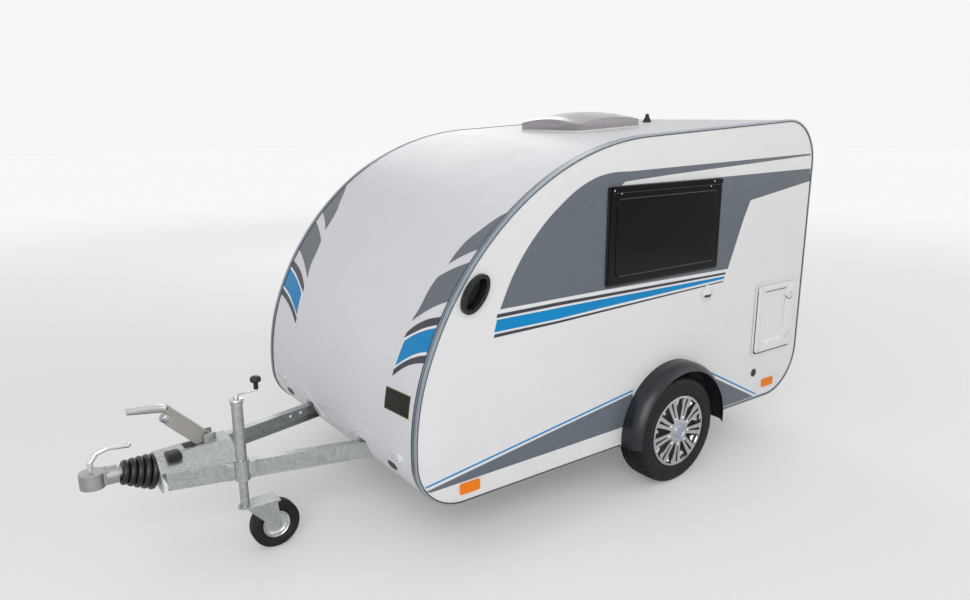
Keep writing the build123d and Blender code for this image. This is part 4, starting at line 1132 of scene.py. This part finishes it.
bright_ramp = upright_prism(RAMP, (AXLE_X, WHEEL_OUT + RAMP_OUT, WHEEL_Z), -0.0025)
for vertex in bright_ramp.data.vertices:
    vertex.select = vertex.co.z < WHEEL_Z + RAMP_FOOT_R
only(bright_ramp)
move_selected((0, -RAMP_LEAN, 0))
ramps = turned_copies(bright_ramp, PAIRS, wheel_middle)

deselect()
bpy.ops.mesh.primitive_uv_sphere_add(segments=16, ring_count=10, radius=NUT_R,
    location=(AXLE_X, WHEEL_OUT + NUT_AT[0], WHEEL_Z + NUT_AT[1]))
nut = bpy.context.active_object
nut.scale = (1.0, 0.55, 1.25)
apply_place(nut)
turn_mesh(nut, math.pi / PAIRS, wheel_middle)
nuts = turned_copies(nut, PAIRS, wheel_middle)

CAP = ((0.0, 0.0908), (0.018, 0.0905), (0.03, 0.0897), (0.035, 0.0884), (0.0362, 0.0866), (0.0, 0.086))
hub_cap = spun(CAP, wheel_middle, 64)
for side_name, mirror in (("right", True), ("left", False)):
    for piece, name, finish in ((trim, "trim_face", "trim_silver"), (ramps, "trim_ramps", "bright_metal"),
            (nuts, "trim_nuts", "bright_metal"), (hub_cap, "hub_cap", "cap_blue")):
        made = copy_of(piece, mirror_y=True) if mirror else piece
        finished(made, f"{name}_{side_name}", f"wheel_{side_name}", finish, angle=40)
        if name == "trim_face":
            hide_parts(f"wheel_trim_{side_name}")

# %% [markdown]
# ### Tyres
# A road tyre is all in its section: a guard ring by the bead, a bulging sidewall with fine rings, a
# soft shoulder, and a crown with grooves. After the spin, every fourth face of each shoulder is pushed
# in to make the cross grooves.

# %% Model the tyres
TYRE_HALF = ((0.1775, 0.06), (0.18, 0.07), (0.184, 0.0738), (0.186, 0.0778), (0.19, 0.0788),
    (0.193, 0.0772), (0.204, 0.08), (0.22, 0.0821), (0.234, 0.0826), (0.2352, 0.0818), (0.2374, 0.0818),
    (0.2386, 0.0825), (0.25, 0.0812), (0.26, 0.0785), (0.266, 0.0762), (0.2672, 0.0768), (0.274, 0.0728),
    (0.2795, 0.0665), (0.2822, 0.06), (0.2836, 0.05), (0.284, 0.0455), (0.278, 0.0448), (0.278, 0.0405),
    (0.2844, 0.0398), (0.285, 0.02), (0.2784, 0.0192), (0.2784, 0.0142), (0.285, 0.0134))
TYRE_STEPS = 144
SHOULDER = (0.05, 0.0702)
SHOULDER_R = 0.274
GROOVE_DEPTH = 0.0045
tyre = spun(both_halves(TYRE_HALF), wheel_middle, TYRE_STEPS, cyclic=True)


def cross_groove(centre, normal):
    """Faces of the two shoulders on every fourth step round the tyre."""
    x, z = centre.x - AXLE_X, centre.z - WHEEL_Z
    step = int(math.atan2(z, x) % math.tau / math.tau * TYRE_STEPS)
    shift = 0 if centre.y > WHEEL_OUT else 2
    on_shoulder = SHOULDER[0] < abs(centre.y - WHEEL_OUT) < SHOULDER[1] and z ** 2 + x ** 2 > SHOULDER_R ** 2
    return on_shoulder and (step + shift) % 4 == 0


grooves = pick_faces(tyre, cross_groove)
bpy.ops.object.mode_set(mode="EDIT")
bpy.ops.mesh.extrude_region_shrink_fatten(TRANSFORM_OT_shrink_fatten={"value": -GROOVE_DEPTH})
leave_edit()
print("cross groove faces:", grooves)
tyre_right = copy_of(tyre, mirror_y=True)
for piece, side_name in ((tyre, "left"), (tyre_right, "right")):
    finished(piece, f"road_tyre_{side_name}", f"wheel_{side_name}", "tyre_rubber", angle=38)
    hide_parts(f"tyre_{side_name}")

# %% [markdown]
# ## The service hatch
# Most parts on the wall are beads along a line or small turned sections. Two helpers make and hand
# over such a piece in one call, and the rest give the lines and boxes they are made from.

# %% Hatch helpers
FACE_Y = 0.799


def oblong(low, high, corner, y, steps=5):
    """Points round an upright rectangle with round corners, at a depth."""
    points = []
    (left, foot), (right, head) = low, high
    for number, (x, z) in enumerate(((right, head), (left, head), (left, foot), (right, foot))):
        middle_x = x - math.copysign(corner, x - (left + right) / 2)
        middle_z = z - math.copysign(corner, z - (foot + head) / 2)
        for step in range(steps + 1):
            turn = math.radians(90 * number + 90 * step / steps)
            points.append((middle_x + corner * math.cos(turn), y, middle_z + corner * math.sin(turn)))
    return points


def wall_box(low, high, round_by=0.0):
    """A box through the wall's face between two corners given by X and Z."""
    return box_cutter((low[0], FACE_Y - 0.02, low[1]), (high[0], FACE_Y + 0.03, high[1]), round_by)


def level_line(from_x, to_x, proud, z):
    """A line along the wall at a height, a little proud of it."""
    return ((from_x, FACE_Y + proud, z), (to_x, FACE_Y + proud, z))


def bead_piece(points, name, radius, body, finish, sides=3, angle=60):
    """A round bead along a line, handed over under its name."""
    finished(tube_from(points, radius, sides=sides), name, body, finish, angle=angle)


def spun_piece(points, name, middle, steps, body, finish, angle=30):
    """A section turned about an axis along Y, handed over under its name."""
    finished(spun(points, middle, steps), name, body, finish, angle=angle)


print("hatch helpers ready")

# %% [markdown]
# ### The frame and the leaf
# A soft raised ring frames the hatch. A dark bead lies in the gap at the foot and the front: the gap is
# real, and its darkness there is painted shade. The border is made in one piece with its hole and then cut
# at the hinge: the part in front stays on the wall as the hinge strip, and the rest swings with the leaf.
# Both are rounded only after they are cut. The groove between them holds the hinge bar. Inside the border,
# a dark bead along the recess's top is painted shadow, and a light sill bead at its foot is a painted
# highlight.

# %% Model the hatch
RECESS = ((-1.7345, 0.588), (-1.5245, 0.899))
FAR_CORNER = (-1.4, 1.0)
STRIP_FROM = (-1.4985, 0.5)
LEAF_TO = (-1.5062, 0.5)
HINGE_LINE = ((-1.497, 0.805, 0.56), (-1.497, 0.805, 0.912))
RING_FLATNESS = 0.45

ring_line = oblong((-1.8305, 0.529), (-1.4525, 0.943), 0.02, FACE_Y)
hatch_ring = tube_from(ring_line, 0.0085, True, 6)
edit(hatch_ring)
bpy.ops.transform.resize(value=(1, RING_FLATNESS, 1), center_override=(0, FACE_Y, 0))
leave_edit()
finished(hatch_ring, "hatch_ring", "caravan", "white_plastic", angle=60)
corners = oblong((-1.82, 0.5352), (-1.4625, 0.933), 0.024, FACE_Y + 0.0012)
# Painted shade: the dark bead lies only at the foot and the front of the gap, where shade falls.
shaded_gap_line = [(-1.802, FACE_Y + 0.0012, 0.5352), *corners[18:24], (-1.4625, FACE_Y + 0.0012, 0.908)]
bead_piece(shaded_gap_line, "hatch_gap_shade", 0.0036, "caravan", "seal_dark")

border = box_cutter((-1.8185, FACE_Y - 0.001, 0.5405), (-1.464, FACE_Y + 0.0105, 0.9315), round_by=0.02)
cut_with(border, wall_box(*RECESS, round_by=0.01))
strip = copy_of(border)
cut_with(strip, wall_box(STRIP_FROM, FAR_CORNER), keep_inside=True)
cut_with(border, wall_box(LEAF_TO, FAR_CORNER))
for piece, name, body, slot in ((strip, "hatch_hinge_strip", "caravan", "white_plastic"),
        (border, "hatch_border", "service_hatch", "body_white")):
    soften(piece, 0.0048, 4, 60)
    finished(piece, name, body, "side_laminate", angle=40)

# Painted shadow: a dark bead along the recess's top edge.
top_line = level_line(-1.73, -1.525, 0.002, 0.8965)
bead_piece(top_line, "hatch_top_shadow", 0.0036, "service_hatch", "seal_dark")
bead_piece(HINGE_LINE, "hatch_pin", 0.0045, "caravan", "side_laminate", sides=6)
# Painted highlight: a lighter white bead along the recess's foot.
highlight_sill_line = level_line(-1.722, -1.536, 0.001, 0.5945)
bead_piece(highlight_sill_line, "hatch_sill_highlight", 0.008, "service_hatch", "film_white", sides=6)

# %% [markdown]
# ### The locks
# Each lock is a round pad with a boss and a keyhole. A dark crescent bead along the upper pad's lower edge is
# painted shadow.

# %% Model the locks
LOCKS = ((-1.7665, 0.617), (-1.7665, 0.866))
SHADOW_CRESCENT_R = 0.0395
PAD_SECTION = ((0.0, 0.013), (0.032, 0.013), (0.0355, 0.012), (0.038, 0.0098), (0.039, 0.0), (0.0, 0.0))
BOSS_SECTION = (
    (0.0, 0.0072), (0.01, 0.0072), (0.0118, 0.0064), (0.0128, 0.005), (0.019, 0.0046), (0.0205, 0.0036),
    (0.021, 0.0), (0.0, 0.0))
BOSS_Y = FACE_Y + 0.0126
x, z = LOCKS[1]
# Painted shadow: a dark arc under the upper pad.
shadow_crescent_line = []
for step in range(13):
    turn = math.radians(205 + step * 9)
    shadow_crescent_line.append((x - SHADOW_CRESCENT_R * math.cos(turn), FACE_Y + 0.0092, z + SHADOW_CRESCENT_R * math.sin(turn)))
bead_piece(shadow_crescent_line, "hatch_shadow_crescent", 0.0026, "service_hatch", "seal_dark")
for number, (x, z) in enumerate(LOCKS):
    spun_piece(PAD_SECTION, f"lock_pad_{number}", (x, FACE_Y, z), 48, "service_hatch",
        "side_laminate", angle=40)
for number, (x, z) in enumerate(LOCKS):
    spun_piece(BOSS_SECTION, f"lock_boss_{number}", (x, BOSS_Y, z), 40, "service_hatch",
        "white_plastic")
    keyhole = box_cutter((x - 0.0014, BOSS_Y + 0.005, z - 0.0055), (x + 0.0014, BOSS_Y + 0.0078, z + 0.0055))
    finished(keyhole, f"lock_keyhole_{number}", "service_hatch", "seal_dark", angle=0)

# %% [markdown]
# ## The vent and the drain
# Above the wheel a domed vent hood has one dark slot. The slot is cut through the hood, and a dark
# disc behind it, painted shade, closes the view. By the hatch a flat dark disc is painted shade for the
# drain's open mouth.

# %% Model the vent and the drain
VENT_X, VENT_Z = -1.0095, 0.964
SLOT_HALF = 0.031
VENT_SHADE_DISC = ((0.0, 0.0009), (0.0325, 0.0009), (0.033, 0.0), (0.0, 0.0))
HOOD = (
    (0.0, 0.013), (0.01, 0.0127), (0.02, 0.0114), (0.029, 0.0086), (0.035, 0.005), (0.0385, 0.003),
    (0.0385, 0.0012), (0.0, 0.0012))
DRAIN = ((0.0, 0.001), (0.0225, 0.001), (0.0245, 0.0), (0.0, 0.0))
# Painted shade: a flat dark disc behind the slot.
spun_piece(VENT_SHADE_DISC, "vent_shade_disc", (VENT_X, FACE_Y, VENT_Z), 48, "caravan", "seal_dark")
hood = spun(HOOD, (VENT_X, FACE_Y, VENT_Z), 64)
slot_low = (VENT_X - SLOT_HALF, FACE_Y - 0.01, 0.9425)
slot_high = (VENT_X + SLOT_HALF, FACE_Y + 0.03, 0.958)
cut_with(hood, box_cutter(slot_low, slot_high, round_by=0.003))
finished(hood, "vent_hood", "caravan", "white_plastic", angle=30)
# Painted shade: a flat dark disc for the drain's mouth.
spun_piece(DRAIN, "drain_shade_disc", (-1.4835, 0.7999, 0.42), 40, "caravan", "seal_dark")

# %% [markdown]
# ## Window details
# Each side window hangs in a rail along its top edge. Bright screws hold the rail and a dark lip runs
# under it. Fine light lines at the top and the bottom of the bulge pressed into the pane are painted
# highlights.

# %% Model the window details
RIGHT_WINDOW_SHIFT = (-0.295, 0, 0)
SCREW = ((0.0, 0.0024), (0.0022, 0.0021), (0.0036, 0.0011), (0.004, 0.0), (0.0, 0.0))
SCREWS_AT = (
    (-0.2685, 0.8166, 1.549), (-0.3235, 0.8088, 1.533), (-0.9685, 0.8088, 1.531), (-0.9835, 0.8166, 1.556))
WINDOW_LINES = (
    ("rail_lip", -1.0515, -0.2625, 0.8098, 1.5375, 0.003, 4, "seal_dark"),
    # The two pane lines are painted highlights along the edges of the bulge.
    ("pane_highlight_line", -1.0145, -0.3115, 0.8132, 1.144, 0.0014, 3, "painted_pane_highlight"),
    ("pane_top_highlight_line", -1.0085, -0.3055, 0.8134, 1.508, 0.0011, 3, "painted_pane_highlight"),
)
details = []
for name, from_x, to_x, y, z, radius, sides, finish in WINDOW_LINES:
    line = tube_from([(from_x, y, z), (to_x, y, z)], radius, sides=sides)
    details.append((line, name, "dark_glass", finish))
rail_screws = join([spun(SCREW, at, 20) for at in SCREWS_AT])
details.append((rail_screws, "rail_screws", "bright_metal", "bright_metal"))
for piece, name, slot, finish in details:
    right_piece = copy_of(piece, move=RIGHT_WINDOW_SHIFT, mirror_y=True)
    finished(right_piece, f"{name}_right", "caravan", finish, angle=50)
    finished(piece, f"{name}_left", "caravan", finish, angle=50)

# %% [markdown]
# ## Rear lamps
# Each rear lamp has three fields: orange for turning on top, red in the middle and clear for reversing
# below. The two outer fields are thin caps with soft edges on the red body. So that the caps end where
# the frame's lamp ended, the body is a copy of it, made a little shallower.

# %% Model the rear lamps
FIELD_PROUD = 0.0022
LAMP_WALL_X = -1.8975
LAMP_FACE_X = -1.9275 + FIELD_PROUD
FIELD_Y = (0.6435, 0.7265)
lamp_bodies = tidy_mesh(copy_of(nodes["rear_lamps"]))
edit(lamp_bodies)
squeeze = (LAMP_WALL_X - LAMP_FACE_X) / (LAMP_WALL_X - LAMP_FACE_X + FIELD_PROUD)
bpy.ops.transform.resize(value=(squeeze, 1, 1), center_override=(LAMP_WALL_X, 0, 0))
leave_edit()
finished(lamp_bodies, "rear_lamp_bodies", "caravan", "red_lens", angle=30)
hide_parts("rear_lamps")
for low_z, high_z, name, finish in ((0.736, 0.7965, "turn_field", "orange_lens"),
        (0.5635, 0.606, "reverse_field", "lamp_glass")):
    low = (LAMP_FACE_X - FIELD_PROUD, FIELD_Y[0], low_z)
    field = box_cutter(low, (LAMP_FACE_X + 0.004, FIELD_Y[1], high_z))
    soften(field, 0.0016, 3, 50)
    finished_pair(field, name, "caravan", finish, angle=40)

# %% [markdown]
# ## The hand brake's grip and the housing's cover
# The lever ends in a bright bent tube that is held in the hand. A sleeve along the same line gives it
# its shine. The end cap of the lever's spring is a turned disc that leans with the lever, and a square
# black cover with soft edges sits on the housing in front of it.

# %% Model the grip and the cover
LEVER_FOOT = (1.4025, 0.5)
GRIP_LINE = (
    (1.544, 0.644), (1.556, 0.657), (1.5675, 0.668), (1.58, 0.6765), (1.598, 0.6815), (1.63, 0.685),
    (1.719, 0.6905))
CAP_RING = (
    (0.0, 0.0265), (0.0215, 0.0265), (0.024, 0.0245), (0.0265, 0.02), (0.0265, 0.004), (0.0245, 0.002),
    (0.0245, -0.004), (0.0, -0.004))
bead_piece([(x, 0.0, z) for x, z in GRIP_LINE], "lever_grip", 0.0152, "handbrake",
    "crank_steel", sides=8)
LEVER_LEAN = math.atan2(1.5675 - LEVER_FOOT[0], 0.668 - LEVER_FOOT[1])
along = Vector((math.sin(LEVER_LEAN), 0, math.cos(LEVER_LEAN)))
below = Vector((math.cos(LEVER_LEAN), 0, -math.sin(LEVER_LEAN)))
end_cap = spun_upright(CAP_RING, (0, 0, 0), 40)
end_cap.rotation_euler = (0, LEVER_LEAN, 0)
end_cap.location = Vector((LEVER_FOOT[0], 0, LEVER_FOOT[1])) + along * 0.2 + below * 0.026
finished(end_cap, "spring_cap", "handbrake", "coupling_metal", angle=30)

cover = box_cutter((1.537, 0.03, 0.46), (1.599, 0.092, 0.492), round_by=0.01)
soften(cover, 0.0045, 3, 50)
finished(cover, "housing_cover", "caravan", "black_plastic", angle=40)

# %% [markdown]
# ## The jockey wheel's crank and rim
# The crank is a thin bright rod with a black mushroom knob, so it takes the place of the plain one. The
# rod is a round bead along its bent line, and the knob is spun. The rim gets a rolled edge and a dished
# disc on each side.

# %% Model the crank and the rim
JOCKEY_X, JOCKEY_Y = 1.3295, 0.218
KNOB_X = 1.2415
CRANK_LINE = (
    (JOCKEY_X, 0.7275), (JOCKEY_X, 0.742), (JOCKEY_X - 0.003, 0.7452), (JOCKEY_X - 0.008, 0.7462),
    (KNOB_X, 0.7475), (KNOB_X, 0.76))
rod = tube_from([(x, JOCKEY_Y, z) for x, z in CRANK_LINE], 0.0052, sides=5)
finished(rod, "crank_rod", "caravan", "crank_steel", angle=50)
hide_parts("jockey_crank")

KNOB = (
    (0.0, 0.0), (0.0095, 0.0), (0.0105, 0.002), (0.01, 0.023), (0.012, 0.029), (0.0205, 0.033),
    (0.0232, 0.037), (0.0238, 0.044), (0.0225, 0.05), (0.018, 0.055), (0.01, 0.058), (0.0, 0.0588))
NUT = (
    (0.0, 0.0), (0.01, 0.0), (0.0112, 0.0016), (0.0112, 0.01), (0.0085, 0.015), (0.006, 0.0165),
    (0.0, 0.017))
COLLAR = (
    (0.0, 0.0), (0.0283, 0.0), (0.0296, 0.0014), (0.0296, 0.009), (0.028, 0.011), (0.0262, 0.0116),
    (0.0, 0.012))
for section, name, x, z, steps, slot, finish, angle in (
        (KNOB, "crank_knob", KNOB_X, 0.753, 32, "black_plastic", "black_plastic", 50),
        (NUT, "crank_nut", JOCKEY_X, 0.7275, 24, "bright_metal", "crank_steel", 40),
        (COLLAR, "tube_collar", JOCKEY_X, 0.717, 40, "bright_metal", "crank_steel", 40)):
    piece = spun_upright(section, (x, JOCKEY_Y, z), steps)
    finished(piece, name, "caravan", finish, angle=angle)

RIM_HALF = (
    (0.0105, 0.03), (0.017, 0.03), (0.0185, 0.027), (0.019, 0.015), (0.023, 0.0115),
    (0.033, 0.009), (0.044, 0.01), (0.052, 0.015), (0.0545, 0.023), (0.059, 0.0262),
    (0.0618, 0.0258), (0.0622, 0.0235))
rim = spun(both_halves(RIM_HALF), (1.2045, 0.218, 0.11), 64, cyclic=True)
finished(rim, "jockey_disc", "jockey_wheel", "crank_steel", angle=40)
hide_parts("jockey_rim")
